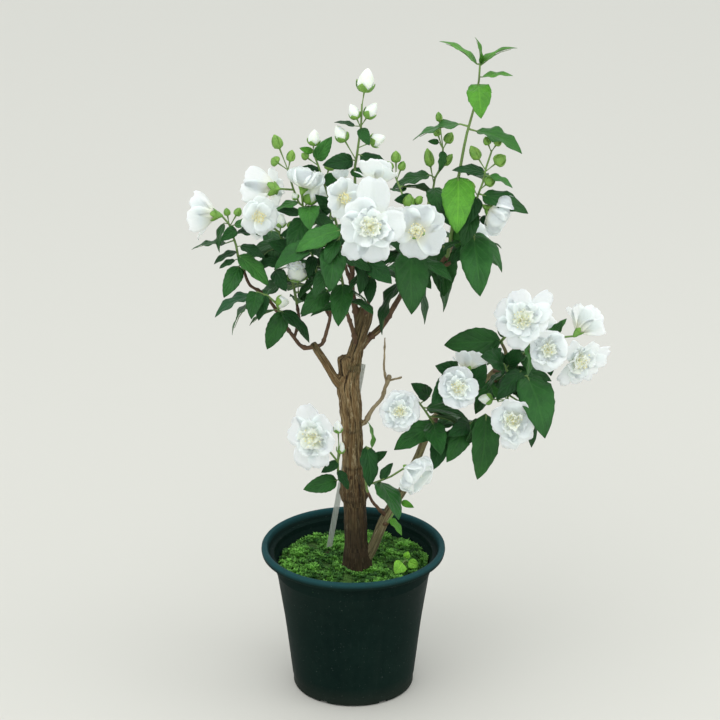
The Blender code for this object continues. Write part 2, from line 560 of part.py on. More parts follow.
def leaf_pose(line, values, lean_more, roll_more, shift):
    """A leaf whose base, tip and width show as the photograph has them.

    A leaf shorter in the picture than its width allows leans toward the camera, and a narrow one is
    rolled so that its upper face turns to the sky.
    """
    across, down, tip_across, tip_down, width = values
    root = nearest_on(line, across, down)
    scale = pixel_size(root)
    root_across, root_down = picture(root)
    base = root + (RIGHT * (across - root_across) - UP * (down - root_down)) * scale + TOWARD * shift
    if (base - root).length < 2.5 * MM:
        base = root
    flat = (RIGHT * (tip_across - across) - UP * (tip_down - down)) * scale
    shown, width = flat.length, width * scale
    flat.normalize()
    length = max(shown, LEAF_ASPECT * width)
    lean = math.acos(min(shown / length, 1.0))
    broad = max(width, shown / LEAF_ASPECT)
    roll = math.acos(width / broad)
    lean = max(min(lean, MOST_LEAF_LEAN) + lean_more, -MOST_LEAF_LEAN)
    roll = min(roll, MOST_LEAF_ROLL) + roll_more
    length = min(shown / math.cos(lean), 1.25 * length)
    upper = TOWARD.cross(flat)
    outward = flat.x if abs(flat.x) > 0.3 else across - TRUNK_PIXEL
    if upper.z < -0.25 or (abs(upper.z) <= 0.25 and upper.x * outward < 0):
        upper = -upper
    axis = flat * math.cos(lean) + TOWARD * math.sin(lean)
    face = (TOWARD * math.cos(lean) - flat * math.sin(lean)) * math.cos(roll) + upper * math.sin(roll)
    rows = SMALL_LEAF_ROWS if broad < SMALL_LEAF_WIDTH else LEAF_ROWS
    return Blade(root, base, axis, face.normalized(), length, broad / 2, rows, LEAF_KEEL, LEAF_ARCH)


def nudges():
    """Small changes of lean, roll and distance from the stem, the smallest first."""
    leans = (0.0, 0.2, -0.2, 0.4, -0.4, 0.65, -0.65, 0.9, -0.9)
    rolls = (0.0, 0.3, -0.3, 0.6, -0.6, 0.9)
    shifts = (0.0, 3 * MM, -3 * MM, 7 * MM, -7 * MM, 12 * MM)
    tries = [(lean, roll, shift) for lean in leans for roll in rolls for shift in shifts]
    return sorted(tries, key=lambda t: abs(t[0]) * 5 + abs(t[1]) * 2 + abs(t[2]) / MM * 0.18)


def fit_leaf(node, pose, placed):
    """The first pose of a leaf that is clear of every other node and, where it can be, of its own."""
    fallback = None
    for nudge in nudges():
        blade = pose(*nudge)
        piece = make_piece(node, "leaf", blade, meshes=[blade_mesh(blade, 0.5 * MM)])
        near = [other for other in placed if touches(piece, other)]
        if any(other.node != node for other in near):
            continue
        if all(other.kind == "stem" for other in near):
            return piece
        fallback = fallback or piece
    return fallback


def place_leaf(node, line, values, placed):
    """A leaf by its pixels, made smaller where no pose of the full size is clear."""
    across, down, tip_across, tip_down, width = values
    for share in (1.0, 0.85, 0.7, 0.5):
        smaller = (across, down, across + (tip_across - across) * share,
                   down + (tip_down - down) * share, width * share)
        piece = fit_leaf(node, lambda *nudge: leaf_pose(line, smaller, *nudge), placed)
        if piece:
            return [piece]
    print("no room for a leaf of", node, "at", values)
    return []


def back_leaf_pose(root, out, length, lean_more, roll_more, shift):
    """A leaf on the far side, which grows outward and hangs a little."""
    base = root + out * (3 * MM + abs(shift))
    droop = -0.35 + lean_more
    axis = Vector((out.x, out.y, droop)).normalized()
    side = axis.cross(Vector((0, 0, 1))).normalized()
    face = Matrix.Rotation(roll_more, 3, axis) @ side.cross(axis)
    broad = BACK_LEAF[1] * length / BACK_LEAF[0]
    return Blade(root, base, axis, face, length, broad / 2, SMALL_LEAF_ROWS, LEAF_KEEL, LEAF_ARCH)


def place_back_leaves(node, line, placed, draw):
    """Opposite pairs of leaves up a stem, each pair turned from the one below."""
    leaves = []
    for level, (start, end, share) in enumerate(((1, 2, 0.9), (2, 3, 0.6), (3, 4, 0.3))):
        root = line[start].lerp(line[end], share)
        for half in (0, 1):
            angle = level * math.pi / 2 + half * math.pi + draw.uniform(-0.3, 0.3) + 0.5
            out = Vector((math.cos(angle), math.sin(angle), 0))
            length = BACK_LEAF[0] * draw.uniform(0.85, 1.1)
            for share_left in (1.0, 0.75, 0.5):
                piece = fit_leaf(node, lambda *nudge: back_leaf_pose(root, out, length * share_left, *nudge),
                                 placed + leaves)
                if piece:
                    leaves.append(piece)
                    break
    return leaves


def stem_lines(name, values):
    """The line of a leafy stem with its radii, and those of its side stems."""
    start, radius = shoot_start(name)
    line = start + [seen(*point) for point in values["line"]]
    lines = [(line, tapered(line, radius, SHOOT_TIP_RADIUS))]
    for side in values.get("sides", ()):
        points = [seen(*point) for point in side]
        foot = nearest_on(line[1:], *picture(points[0]))
        points.insert(0, foot - (points[0] - foot).normalized() * SINK)
        lines.append((points, tapered(points, 1.2 * MM, SHOOT_TIP_RADIUS)))
    return lines


def nearest_line(lines, across, down):
    """Of a stem and its side stems, the line that passes nearest to a pixel, clear of where it starts."""
    def miss(line):
        spot = picture(nearest_on(line, across, down))
        return math.hypot(spot[0] - across, spot[1] - down)
    return min((line[1:] if len(line) > 2 else line for line, _ in lines), key=miss)


def place_bud(node, line, values, placed):
    """A bud on its stalk. It slides along the line of sight until it is clear."""
    across, down, width, height, foot_across, foot_down = values
    start = nearest_on(line, foot_across, foot_down)
    for step in sorted(range(-8, 9), key=abs):
        middle = seen(across, down, start.y / MM + 2.5 * step)
        way = (middle - start).normalized() * height * pixel_size(middle)
        broad = width * pixel_size(middle) / 2
        line = [start - way.normalized() * SINK] + [middle + way * share for share in (-0.5, 0.0, 0.5)]
        radii = [STALK_RADIUS, STALK_RADIUS, broad, broad * 0.2]
        if broad < SMALL_BUD_RADIUS:
            del line[1], radii[1]
        bud = tube(node, "bud", line, radii)
        if clear_of(bud, [other for other in placed if other.node != node]):
            break
    else:
        print("bud of", node, "at", across, down, "touches a neighbour")
    return bud


def plan():
    """Every piece of wood, stem, bloom, bud and leaf, placed so that no node touches another."""
    placed = [tube("wood", "limb", *limb_line(name)) for name in LIMBS]
    lines = {name: stem_lines(name, values) for name, values in SHOOTS.items()}
    for name, (points, _) in BACK_SHOOTS.items():
        lines[name] = stem_lines(name, dict(line=points))
    for name, entries in lines.items():
        placed += [tube("stem_" + name, "stem", *entry) for entry in entries]
    blooms = []
    for name, values in SHOOTS.items():
        blooms += [(name, bloom) for bloom in values["blooms"]]
    for name, (points, ends_in_bloom) in BACK_SHOOTS.items():
        if ends_in_bloom:
            blooms.append((name, back_bloom(name, points)))
    stalks = []
    for seed, (name, values) in enumerate(blooms):
        node = "stem_" + name
        bloom = place_bloom(name, values, placed, seed)
        placed.append(bloom)
        stalks.append((node, lines[name], bloom, values[7:]))
    for node, entries, bloom, foot in stalks:
        origin, facing, _ = bloom.shape
        others = [piece for piece in placed if piece.node != node]
        line = nearest_line(entries, *foot)
        placed.append(place_stalk(node, line, origin, facing, foot, others))
    for name, values in SHOOTS.items():
        for bud in values["buds"]:
            placed.append(place_bud("stem_" + name, nearest_line(lines[name], *bud[4:]), bud, placed))
    for name, values in SHOOTS.items():
        for leaf in values["leaves"]:
            placed += place_leaf("stem_" + name, nearest_line(lines[name], *leaf[:2]), leaf, placed)
    for seed, name in enumerate(BACK_SHOOTS):
        draw = random.Random(seed)
        placed += place_back_leaves("stem_" + name, lines[name][0][0], placed, draw)
    return placed


def back_bloom(name, points):
    """A bloom past the end of a stem on the far side. It faces on along the stem and back."""
    across, down, depth = points[-1]
    before = points[-2]
    facing = (0.5 * (across - before[0]) / 20, 0.35, -0.9)
    return (name, across + 10 * facing[0], down - 8, depth + 24, BACK_BLOOM_RADIUS, facing, "double",
            across, down)


def material(name, colour, roughness):
    """A plain surface of one colour, given as the shares of red, green and blue that a screen shows."""
    made = bpy.data.materials.new(name)
    made.use_nodes = True
    shader = made.node_tree.nodes["Principled BSDF"]
    shader.inputs["Base Color"].default_value = [channel**2.2 for channel in colour] + [1.0]
    shader.inputs["Roughness"].default_value = roughness
    shader.inputs["Metallic"].default_value = 0.0
    return made


def new_collection(name):
    made = bpy.data.collections.new(name)
    bpy.context.scene.collection.children.link(made)
    return made


def object_from(name, form, collection):
    """An object in a collection that holds the mesh built in a bmesh, with its faces turned outward."""
    bmesh.ops.recalc_face_normals(form, faces=form.faces)
    if form.calc_volume(signed=True) < 0:
        bmesh.ops.reverse_faces(form, faces=form.faces)
    mesh = bpy.data.meshes.new(name)
    form.to_mesh(mesh)
    form.free()
    made = bpy.data.objects.new(name, mesh)
    collection.objects.link(made)
    return made


def evaluated_mesh(source):
    bpy.context.view_layer.update()
    graph = bpy.context.evaluated_depsgraph_get()
    return bpy.data.meshes.new_from_object(source.evaluated_get(graph))


def tube_object(name, line, radii, sides, collection):
    """A tapered tube with flat ends, as a closed mesh. Its section is turned by an angle of its own, so
    that no two tubes meet edge to edge."""
    curve = bpy.data.curves.new(name, "CURVE")
    curve.dimensions = "3D"
    curve.bevel_depth = 1.0
    curve.bevel_resolution = (sides - 4) // 2
    curve.use_fill_caps = True
    spline = curve.splines.new("POLY")
    spline.points.add(len(line) - 1)
    turn = (line[0].x + line[-1].z) * 1000
    for point, place, radius in zip(spline.points, line, radii):
        point.co = (*place, 1.0)
        point.radius = radius
        point.tilt = turn
    source = bpy.data.objects.new(name, curve)
    collection.objects.link(source)
    form = bmesh.new()
    form.from_mesh(evaluated_mesh(source))
    bpy.data.objects.remove(source)
    bmesh.ops.remove_doubles(form, verts=form.verts, dist=1e-5)
    return object_from(name, form, collection)


def faces_object(name, points, faces, collection):
    form = bmesh.new()
    corners = [form.verts.new(point) for point in points]
    for ring in faces:
        form.faces.new([corners[index] for index in ring])
    return object_from(name, form, collection)


def keep_one_body(mesh):
    """Tidies a union: nearly flat neighbours become one face, and only the largest shell stays, which
    fills the hollows that the union seals and drops its loose scraps."""
    form = bmesh.new()
    form.from_mesh(mesh)
    bmesh.ops.dissolve_limit(form, angle_limit=FLAT_ENOUGH, verts=form.verts, edges=form.edges)
    left, shells = set(form.verts), []
    while left:
        reached = [left.pop()]
        shell = set(reached)
        while reached:
            for edge in reached.pop().link_edges:
                for corner in edge.verts:
                    if corner in left:
                        left.discard(corner)
                        shell.add(corner)
                        reached.append(corner)
        shells.append(shell)
    shells.sort(key=len)
    for shell in shells[:-1]:
        bmesh.ops.delete(form, geom=list(shell), context="VERTS")
    form.to_mesh(mesh)
    form.free()


def fuse(name, parts, surface, collection):
    """One closed body from the first object and all the others, which are then removed."""
    host, others = parts[0], parts[1:]
    made = bpy.data.objects.new(name, host.data)
    collection.objects.link(made)
    bpy.data.objects.remove(host)
    if others:
        group = new_collection(name + "_parts")
        for other in others:
            for holder in other.users_collection:
                holder.objects.unlink(other)
            group.objects.link(other)
        union = made.modifiers.new("Union", "BOOLEAN")
        union.operation = "UNION"
        union.operand_type = "COLLECTION"
        union.collection = group
        union.solver = "MANIFOLD"
        fused = evaluated_mesh(made)
        made.modifiers.clear()
        keep_one_body(fused)
        made.data = fused
        for other in others:
            bpy.data.objects.remove(other)
        bpy.data.collections.remove(group)
    made.data.materials.clear()
    made.data.materials.append(surface)
    made.data.shade_smooth()
    made.data.set_sharp_from_angle(angle=SHARP_ANGLE)
    return made


def build_wood(pieces, collection, surface):
    parts = []
    for name, piece in zip(LIMBS, pieces):
        thin = piece.shape[1][-1]
        sides = TRUNK_SIDES if name == "trunk" else 4 if thin < 2.5 * MM and name != "second_stem" else 6
        parts.append(tube_object(name, *piece.shape, sides, collection))
    return fuse("wood", parts, surface, collection)


def build_stem(name, pieces, collection, surface):
    """A leafy stem with its side stems, stalks, buds and leaves in one body."""
    parts = []
    for piece in pieces:
        if piece.kind == "leaf":
            parts.append(faces_object(piece.kind, *blade_mesh(piece.shape), collection))
        else:
            sides = 6 if max(piece.shape[1]) > 5 * MM else 4
            parts.append(tube_object(piece.kind, *piece.shape, sides, collection))
    return fuse(name, parts, surface, collection)


def build_bloom(piece, collection, surface):
    _, _, whorls = piece.shape
    parts = [faces_object("petals", *whorl_mesh(whorl), collection) for whorl in whorls]
    return fuse(piece.node, parts, surface, collection)


def turned(name, profile, collection, surface, steps=ROUND_STEPS):
    """A turned solid from a profile of radius and height that starts and ends on the axis."""
    mesh = bpy.data.meshes.new(name)
    points = [(radius, 0.0, height) for radius, height in profile]
    mesh.from_pydata(points, [(index, index + 1) for index in range(len(points) - 1)], [])
    made = bpy.data.objects.new(name, mesh)
    collection.objects.link(made)
    screw = made.modifiers.new("Turn", "SCREW")
    screw.axis = "Z"
    screw.steps = screw.render_steps = steps
    screw.use_merge_vertices = True
    screw.merge_threshold = 0.0001
    screw.use_smooth_shade = True
    made.data.materials.append(surface)
    return made


def cut(target, cutter, cutters):
    """A Boolean difference with a cutter that stays out of the build."""
    for holder in cutter.users_collection:
        holder.objects.unlink(cutter)
    cutters.objects.link(cutter)
    cutter.hide_render = True
    cutter.display_type = "WIRE"
    difference = target.modifiers.new("Cut " + cutter.name, "BOOLEAN")
    difference.operation = "DIFFERENCE"
    difference.object = cutter


def build_pot(collection, cutters, surface):
    """A tapered shell with a rolled lip, a faint ring, a flat floor with drain holes and foot slots."""
    outer = RIM_DIAMETER / 2
    inner = outer - LIP_WIDTH
    ring_height = POT_HEIGHT - RING_DROP
    slope = (NECK_RADIUS - BASE_RADIUS) / (POT_HEIGHT - LIP_HEIGHT)
    ring_radius = BASE_RADIUS + slope * ring_height
    profile = [
        (0, FLOOR), (BASE_RADIUS - WALL, FLOOR), (inner - 6 * MM, POT_HEIGHT - 16 * MM),
        (inner - 0.5 * MM, POT_HEIGHT - 2 * MM), (inner + 1.6 * MM, POT_HEIGHT),
        (outer - 2 * MM, POT_HEIGHT), (outer, POT_HEIGHT - 2 * MM),
        (outer - 0.6 * MM, POT_HEIGHT - LIP_HEIGHT), (NECK_RADIUS + 1.2 * MM, POT_HEIGHT - LIP_HEIGHT),
        (ring_radius + 0.7 * MM, ring_height), (ring_radius, ring_height - 1.5 * MM),
        (BASE_RADIUS, FOOT_EDGE), (BASE_RADIUS - 2.2 * MM, 0), (0, 0),
    ]
    pot = turned("pot", profile, collection, surface)
    holes = []
    for index in range(DRAIN_HOLES):
        angle = math.tau * (index + 0.5) / DRAIN_HOLES
        form = bmesh.new()
        bmesh.ops.create_cone(form, cap_ends=True, segments=8, radius1=DRAIN_RADIUS, radius2=DRAIN_RADIUS,
                              depth=FLOOR * 4)
        place = Matrix.Translation((math.cos(angle) * DRAIN_CIRCLE, math.sin(angle) * DRAIN_CIRCLE, 0))
        bmesh.ops.transform(form, matrix=place, verts=form.verts)
        holes.append(object_from("drain_hole", form, cutters))
        form = bmesh.new()
        bmesh.ops.create_cube(form, size=1.0)
        shape = Matrix.Diagonal((*FOOT_SLOT, 1.0))
        turn = Matrix.Rotation(math.tau * index / DRAIN_HOLES, 4, "Z")
        place = turn @ Matrix.Translation((BASE_RADIUS, 0, 0))
        bmesh.ops.transform(form, matrix=place @ shape, verts=form.verts)
        holes.append(object_from("foot_slot", form, cutters))
    for hole in holes:
        cut(pot, hole, cutters)
    return pot


def soil_height(radius, angle, top_radius):
    """The moss surface: a low mound with lumps."""
    mound = SOIL_MOUND * math.cos(min(radius / top_radius, 1.0) * math.pi / 2)
    lumps = math.sin(5 * angle + 90 * radius) + math.sin(9 * angle - 160 * radius + 1.0)
    return SOIL_EDGE + mound + lumps * 0.9 * MM * math.sin(math.pi * min(radius / top_radius, 1.0))


def build_soil(collection, cutters, surface, stands):
    """The soil that fills the pot, with a plain hole for each thing that stands in it."""
    slope = (RIM_DIAMETER / 2 - LIP_WIDTH - 6 * MM - (BASE_RADIUS - WALL)) / (POT_HEIGHT - 16 * MM - FLOOR)
    low, high = FLOOR + GAP, SOIL_EDGE
    low_radius = BASE_RADIUS - WALL + slope * (low - FLOOR) - 0.6 * MM
    high_radius = BASE_RADIUS - WALL + slope * (high - FLOOR) - 0.6 * MM
    rings = [(high_radius * share, high) for share in (0.0, 0.35, 0.65, 0.92)]
    soil = turned("soil", rings + [(high_radius, high - 2 * MM), (low_radius, low), (0, low)],
                  collection, surface)
    soil.data = evaluated_mesh(soil)
    soil.modifiers.clear()
    for vertex in soil.data.vertices:
        radius = math.hypot(vertex.co.x, vertex.co.y)
        if vertex.co.z > high - 1 * MM:
            vertex.co.z = soil_height(radius, math.atan2(vertex.co.y, vertex.co.x), high_radius)
    for stand in stands:
        cut(soil, stand, cutters)
    return soil


def hole_for(name, foot, foot_radius, sides, collection):
    """A plain round cutter for what stands in the soil, from just below its foot to above the soil."""
    form = bmesh.new()
    radius = (foot_radius + GAP) / math.cos(math.pi / sides)
    depth = SOIL_EDGE + 24 * MM - foot.z
    bmesh.ops.create_cone(form, cap_ends=True, segments=sides, radius1=radius, radius2=radius, depth=depth)
    middle = Vector((foot.x, foot.y, foot.z - GAP + depth / 2))
    bmesh.ops.transform(form, matrix=Matrix.Translation(middle), verts=form.verts)
    return object_from(name, form, collection)


def box_between(name, low, high, width, thickness, collection):
    """A flat strip that runs from one point to another, its wide face to the front."""
    form = bmesh.new()
    bmesh.ops.create_cube(form, size=1.0)
    stand = (high - low).to_track_quat("Z", "X").to_matrix().to_4x4()
    shape = Matrix.Diagonal((width, thickness, (high - low).length, 1.0))
    bmesh.ops.transform(form, matrix=Matrix.Translation((low + high) / 2) @ stand @ shape, verts=form.verts)
    return object_from(name, form, collection)


def build_label(collection, cutters, surface):
    """The bare label stake, and the slot that it stands in."""
    foot, top = seen(*LABEL_FOOT), seen(*LABEL_TOP)
    way = (top - foot).normalized()
    foot -= way * LABEL_DEPTH
    label = box_between("label_stake", foot, top, LABEL_WIDTH, LABEL_THICKNESS, collection)
    label.data.materials.append(surface)
    slot = box_between("label_slot", foot - way * GAP * 2, top, LABEL_WIDTH + 2 * GAP,
                       LABEL_THICKNESS + 2 * GAP, cutters)
    return label, slot


def build_seedling(collection, surface):
    """A small weed with a few leaves, its stem in a hole of its own."""
    foot = seen(*SEEDLING_FOOT)
    foot.z = SOIL_EDGE - SEEDLING_DEPTH
    crown = Vector((foot.x, foot.y, SOIL_EDGE + SEEDLING_HEIGHT))
    parts = [tube_object("seedling", [foot, crown], [SEEDLING_RADIUS, STALK_RADIUS], 4, collection)]
    for tip in SEEDLING_LEAF_TIPS:
        way = seen(*tip) - crown
        axis = way.normalized()
        face = axis.cross(Vector((0, 0, 1)).cross(axis)).normalized()
        blade = Blade(crown, crown, axis, face, way.length, way.length * 0.3, SMALL_LEAF_ROWS, 0.9 * MM, 0.1)
        parts.append(faces_object("seedling_leaf", *blade_mesh(blade), collection))
    return fuse("weed_seedling", parts, surface, collection), foot


def main():
    for leftover in list(bpy.data.objects):
        bpy.data.objects.remove(leftover)
    plant = new_collection("potted_mock_orange")
    cutters = new_collection("cutters")
    pot_plastic = material("pot_plastic", (0.08, 0.15, 0.14), 0.45)
    moss = material("mossy_soil", (0.20, 0.30, 0.10), 0.95)
    bark = material("bark", (0.36, 0.26, 0.18), 0.85)
    leaf = material("leaf", (0.20, 0.45, 0.17), 0.45)
    petal = material("petal", (0.93, 0.95, 0.95), 0.6)
    clear = material("clear_label", (0.85, 0.88, 0.88), 0.3)

    placed = plan()
    by_node = {}
    for piece in placed:
        by_node.setdefault(piece.node, []).append(piece)
    for node, pieces in by_node.items():
        if node == "wood":
            build_wood(pieces, plant, bark)
        elif pieces[0].kind == "bloom":
            build_bloom(pieces[0], plant, petal)
        else:
            build_stem(node, pieces, plant, leaf)
    build_pot(plant, cutters, pot_plastic)
    _, label_slot = build_label(plant, cutters, clear)
    _, seedling_foot = build_seedling(plant, leaf)
    trunk, radii = limb_line("trunk")
    stands = [
        hole_for("trunk_hole", trunk[0], radii[0], TRUNK_SIDES, cutters),
        hole_for("seedling_hole", seedling_foot, SEEDLING_RADIUS, 6, cutters),
        label_slot,
    ]
    build_soil(plant, cutters, moss, stands)


main()
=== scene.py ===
# %% [markdown]
# # A potted mock orange
# The plant is a double-flowered mock orange grown as a little tree: a rough brown trunk, a crown of green
# leaves and white flowers, and one long side branch with more flowers. It stands in a dark green nursery pot.
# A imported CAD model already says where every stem, leaf and bloom is. This script loads it as a fixed frame
# and dresses it: each plain solid is replaced by a finer piece in the same place.

import math
import random
from collections import Counter, namedtuple
from itertools import product

import bmesh
import bpy
import numpy as np
from mathutils import Matrix, Vector, noise
from mathutils.bvhtree import BVHTree


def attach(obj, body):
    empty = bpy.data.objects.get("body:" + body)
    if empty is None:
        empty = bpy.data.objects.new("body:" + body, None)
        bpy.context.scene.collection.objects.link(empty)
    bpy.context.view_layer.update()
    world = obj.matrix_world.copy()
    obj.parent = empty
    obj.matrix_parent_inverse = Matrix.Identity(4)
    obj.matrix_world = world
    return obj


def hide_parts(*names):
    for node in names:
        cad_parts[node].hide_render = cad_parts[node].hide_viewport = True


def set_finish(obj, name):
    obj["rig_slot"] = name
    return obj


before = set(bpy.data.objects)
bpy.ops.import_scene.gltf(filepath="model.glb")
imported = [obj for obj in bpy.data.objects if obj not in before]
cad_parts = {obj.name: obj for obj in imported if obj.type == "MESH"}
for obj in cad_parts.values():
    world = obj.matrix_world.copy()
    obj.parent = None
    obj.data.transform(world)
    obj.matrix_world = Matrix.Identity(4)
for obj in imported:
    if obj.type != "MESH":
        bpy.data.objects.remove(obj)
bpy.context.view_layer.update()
MM = 0.001
print("CAD nodes:", len(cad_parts))

# %% [markdown]
# ## The camera
# The photograph was taken with a long lens from a little above. The rim of the pot is a circle of known
# size, so its ellipse in the picture gives the distance and the pitch. A long lens keeps the pot's sides
# nearly straight, which a wide one close up wouldn't.

# %% Camera, and the directions of its picture
CAMERA = Vector((0.0066, -2.711, 1.4376))
PITCH = math.radians(22.0)
FOCAL_PIXELS = 3060.0
PHOTO_CENTRE = 360.0
SENSOR_MM = 36
RIGHT = Vector((1, 0, 0))
UP = Vector((0, math.sin(PITCH), math.cos(PITCH)))
TOWARD = Vector((0, -math.cos(PITCH), math.sin(PITCH)))

lens = bpy.data.cameras.new("long_lens")
lens.sensor_width = SENSOR_MM
lens.lens = FOCAL_PIXELS / (2 * PHOTO_CENTRE) * SENSOR_MM
camera = bpy.data.objects.new("long_lens", lens)
camera.location = CAMERA
camera.rotation_euler = (math.pi / 2 - PITCH, 0, 0)
bpy.context.scene.collection.objects.link(camera)
bpy.context.scene.camera = camera
bpy.context.scene.view_settings.view_transform = "Standard"
print("lens", round(lens.lens, 1), "mm")

# %% [markdown]
# ## Floor and light
# White petals burn out under a hard lamp, and a dark pot goes black. So the light is that of an overcast
# sky: a bright world, one very large soft lamp above and in front, and a weak one from the side that
# gives the leaves their shine.

# %% Floor
bpy.ops.mesh.primitive_plane_add(size=40, location=(0, 0, -0.5 * MM))
floor = bpy.context.object
floor.name = "floor"
floor_paint = bpy.data.materials.new("pale_floor")
floor_paint.use_nodes = True
floor_shader = floor_paint.node_tree.nodes["Principled BSDF"]
floor_shader.inputs["Base Color"].default_value = (0.62, 0.61, 0.56, 1)
floor_shader.inputs["Roughness"].default_value = 0.9
floor.data.materials.append(floor_paint)

# %% Light
SKY_STRENGTH = 1.08
PLANT_MIDDLE = Vector((0, 0, 0.35))
world = bpy.data.worlds.new("overcast")
world.use_nodes = True
world.node_tree.nodes["Background"].inputs["Color"].default_value = (0.96, 0.99, 1.0, 1)
world.node_tree.nodes["Background"].inputs["Strength"].default_value = SKY_STRENGTH
bpy.context.scene.world = world

def soft_lamp(name, place, size, power):
    """A square lamp that looks at the middle of the plant."""
    data = bpy.data.lights.new(name, "AREA")
    data.size = size
    data.energy = power
    lamp = bpy.data.objects.new(name, data)
    lamp.location = place
    lamp.rotation_euler = (PLANT_MIDDLE - Vector(place)).to_track_quat("-Z", "Y").to_euler()
    bpy.context.scene.collection.objects.link(lamp)

soft_lamp("sky_panel", (-0.7, -1.4, 3.0), 2.8, 30)
soft_lamp("side_panel", (2.2, -0.6, 1.6), 1.2, 8)

# %% [markdown]
# ## Helpers for modelling
# Most pieces are started from a primitive and shaped in edit mode, or are made of many copies of a shape that
# was; limbs, twigs and stalks are tubes along curves, and a sprig of moss is given point by point. Operators
# act on whatever is selected, so the first helper leaves one object selected and active.

# %% Select, apply, name
def only(piece):
    """Leaves one object selected and active."""
    bpy.ops.object.select_all(action="DESELECT")
    piece.select_set(True)
    bpy.context.view_layer.objects.active = piece

def apply_modifier(piece, kind, **settings):
    only(piece)
    modifier = piece.modifiers.new(kind.title(), kind)
    for name, value in settings.items():
        setattr(modifier, name, value)
    bpy.ops.object.modifier_apply(modifier=modifier.name)

def thicken(piece, thickness, offset, **paints):
    """Gives a sheet of faces its thickness. An offset of 1 is outward, -1 inward and 0 both ways."""
    apply_modifier(piece, "SOLIDIFY", thickness=thickness, offset=offset, **paints)
    return piece

def finished(piece, name, slot, nodes, *paints):
    """Names a piece, paints it unless it is already, hangs it on the root body, gives it its finish slot and
    hides the CAD solids it stands for.
    """
    piece.name = piece.data.name = name
    if paints:
        piece.data.materials.clear()
    for paint in paints:
        piece.data.materials.append(paint)
    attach(piece, "root")
    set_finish(piece, slot)
    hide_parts(*nodes)
    return piece

# %% [markdown]
# ## Helpers for materials
# A material here is a small net of nodes. These helpers keep each step of it to one line: a node with what
# its inputs read, a sum, a mix of two colours, a ramp and a noise.

# %% Nodes in one line
def wired(tree, node, inputs):
    """Lets each input of a node read a value or another node's output, and gives the node's outputs."""
    for socket, value in inputs.items():
        if isinstance(value, bpy.types.NodeSocket):
            tree.links.new(value, node.inputs[socket])
        else:
            node.inputs[socket].default_value = value
    return node.outputs

def add_node(tree, kind, inputs=None, **settings):
    node = tree.nodes.new("ShaderNode" + kind)
    for name, value in settings.items():
        setattr(node, name, value)
    return wired(tree, node, inputs or {})

def maths(tree, operation, first, second=0.0):
    return add_node(tree, "Math", {0: first, 1: second}, operation=operation)[0]

def plus(tree, first, second):
    return maths(tree, "ADD", first, second)

def times(tree, first, second):
    return maths(tree, "MULTIPLY", first, second)

def blend(tree, share, first, second, way="MIX"):
    """A mix of two colours, which are sockets or plain triples."""
    first, second = ((*colour, 1) if isinstance(colour, tuple) else colour for colour in (first, second))
    return add_node(tree, "Mix", {0: share, 6: first, 7: second}, data_type="RGBA", blend_type=way)[2]

def layered(tree, colour, *layers):
    """A colour with others laid over it. Each layer is how much of it shows, and its colour."""
    for share, over in layers:
        colour = blend(tree, share, colour, over)
    return colour

def spread(tree, value, low, high, to_low=0.0, to_high=1.0):
    """A value stretched from one range to another and kept inside it."""
    return add_node(tree, "MapRange", {0: value, 1: low, 2: high, 3: to_low, 4: to_high})[0]

def noise_at(tree, vector, scale, detail=3.0, rough=0.55):
    inputs = {"Vector": vector, "Scale": scale, "Detail": detail, "Roughness": rough}
    return add_node(tree, "TexNoise", inputs)[0]

def streaks_at(tree, vector, scales, detail=3.0, rough=0.55):
    """A noise with its own scale along each axis, so that it runs in streaks."""
    drawn_out = add_node(tree, "Mapping", {"Vector": vector, "Scale": scales})[0]
    return noise_at(tree, drawn_out, 1.0, detail, rough)

def new_material(name, **sockets):
    """A material with plain values set on its shader, its tree and that shader."""
    paint = bpy.data.materials.new(name)
    paint.use_nodes = True
    shader = paint.node_tree.nodes["Principled BSDF"]
    for socket, value in sockets.items():
        shader.inputs[socket.replace("_", " ")].default_value = value
    return paint, paint.node_tree, shader

def feed(tree, shader, colour=None, roughness=None, height=None, depth=1 * MM, strength=1.0):
    """Links a colour, a roughness and a height to a shader."""
    if colour:
        tree.links.new(colour, shader.inputs["Base Color"])
    if roughness:
        tree.links.new(roughness, shader.inputs["Roughness"])
    if height:
        bump = add_node(tree, "Bump", {"Height": height, "Distance": depth, "Strength": strength})
        tree.links.new(bump[0], shader.inputs["Normal"])

# %% [markdown]
# ### Two effects that several materials share
# Nothing that grows or stands outdoors is one colour all over. Patches gives a slow change with a fine one
# on top. Veins draws a midrib and slanting side veins on a blade's own UV map, with the swollen tissue
# between them as a height. Each is a group, built once.

# %% A group, and its sockets
def new_group(name, inputs, outputs):
    """A group, what it is given and what it has to give."""
    group = bpy.data.node_groups.new(name, "ShaderNodeTree")
    for label, kind, value in inputs:
        socket = group.interface.new_socket(label, in_out="INPUT", socket_type="NodeSocket" + kind)
        if kind == "Float":
            socket.default_value = value
    for label in outputs:
        group.interface.new_socket(label, in_out="OUTPUT", socket_type="NodeSocketFloat")
    return group, group.nodes.new("NodeGroupInput").outputs, group.nodes.new("NodeGroupOutput").inputs

def use_group(tree, group, inputs):
    node = tree.nodes.new("ShaderNodeGroup")
    node.node_tree = group
    return wired(tree, node, inputs)

# %% The group Patches
patches, given, result = new_group(
    "patches", (("Vector", "Vector", None), ("Scale", "Float", 60.0), ("Contrast", "Float", 1.0)), ("Value",))
slow = noise_at(patches, given["Vector"], given["Scale"], 4.0)
fast = noise_at(patches, given["Vector"], times(patches, given["Scale"], 9.0), 2.0)
summed = plus(patches, times(patches, slow, 0.7), times(patches, fast, 0.3))
centred = times(patches, maths(patches, "SUBTRACT", summed, 0.5), given["Contrast"])
value = add_node(patches, "Math", {0: times(patches, centred, 3.0), 1: 0.5}, use_clamp=True)[0]
patches.links.new(value, result["Value"])

def mottled(tree, place, scale, contrast=1.2):
    return use_group(tree, patches, {"Vector": place, "Scale": scale, "Contrast": contrast})[0]

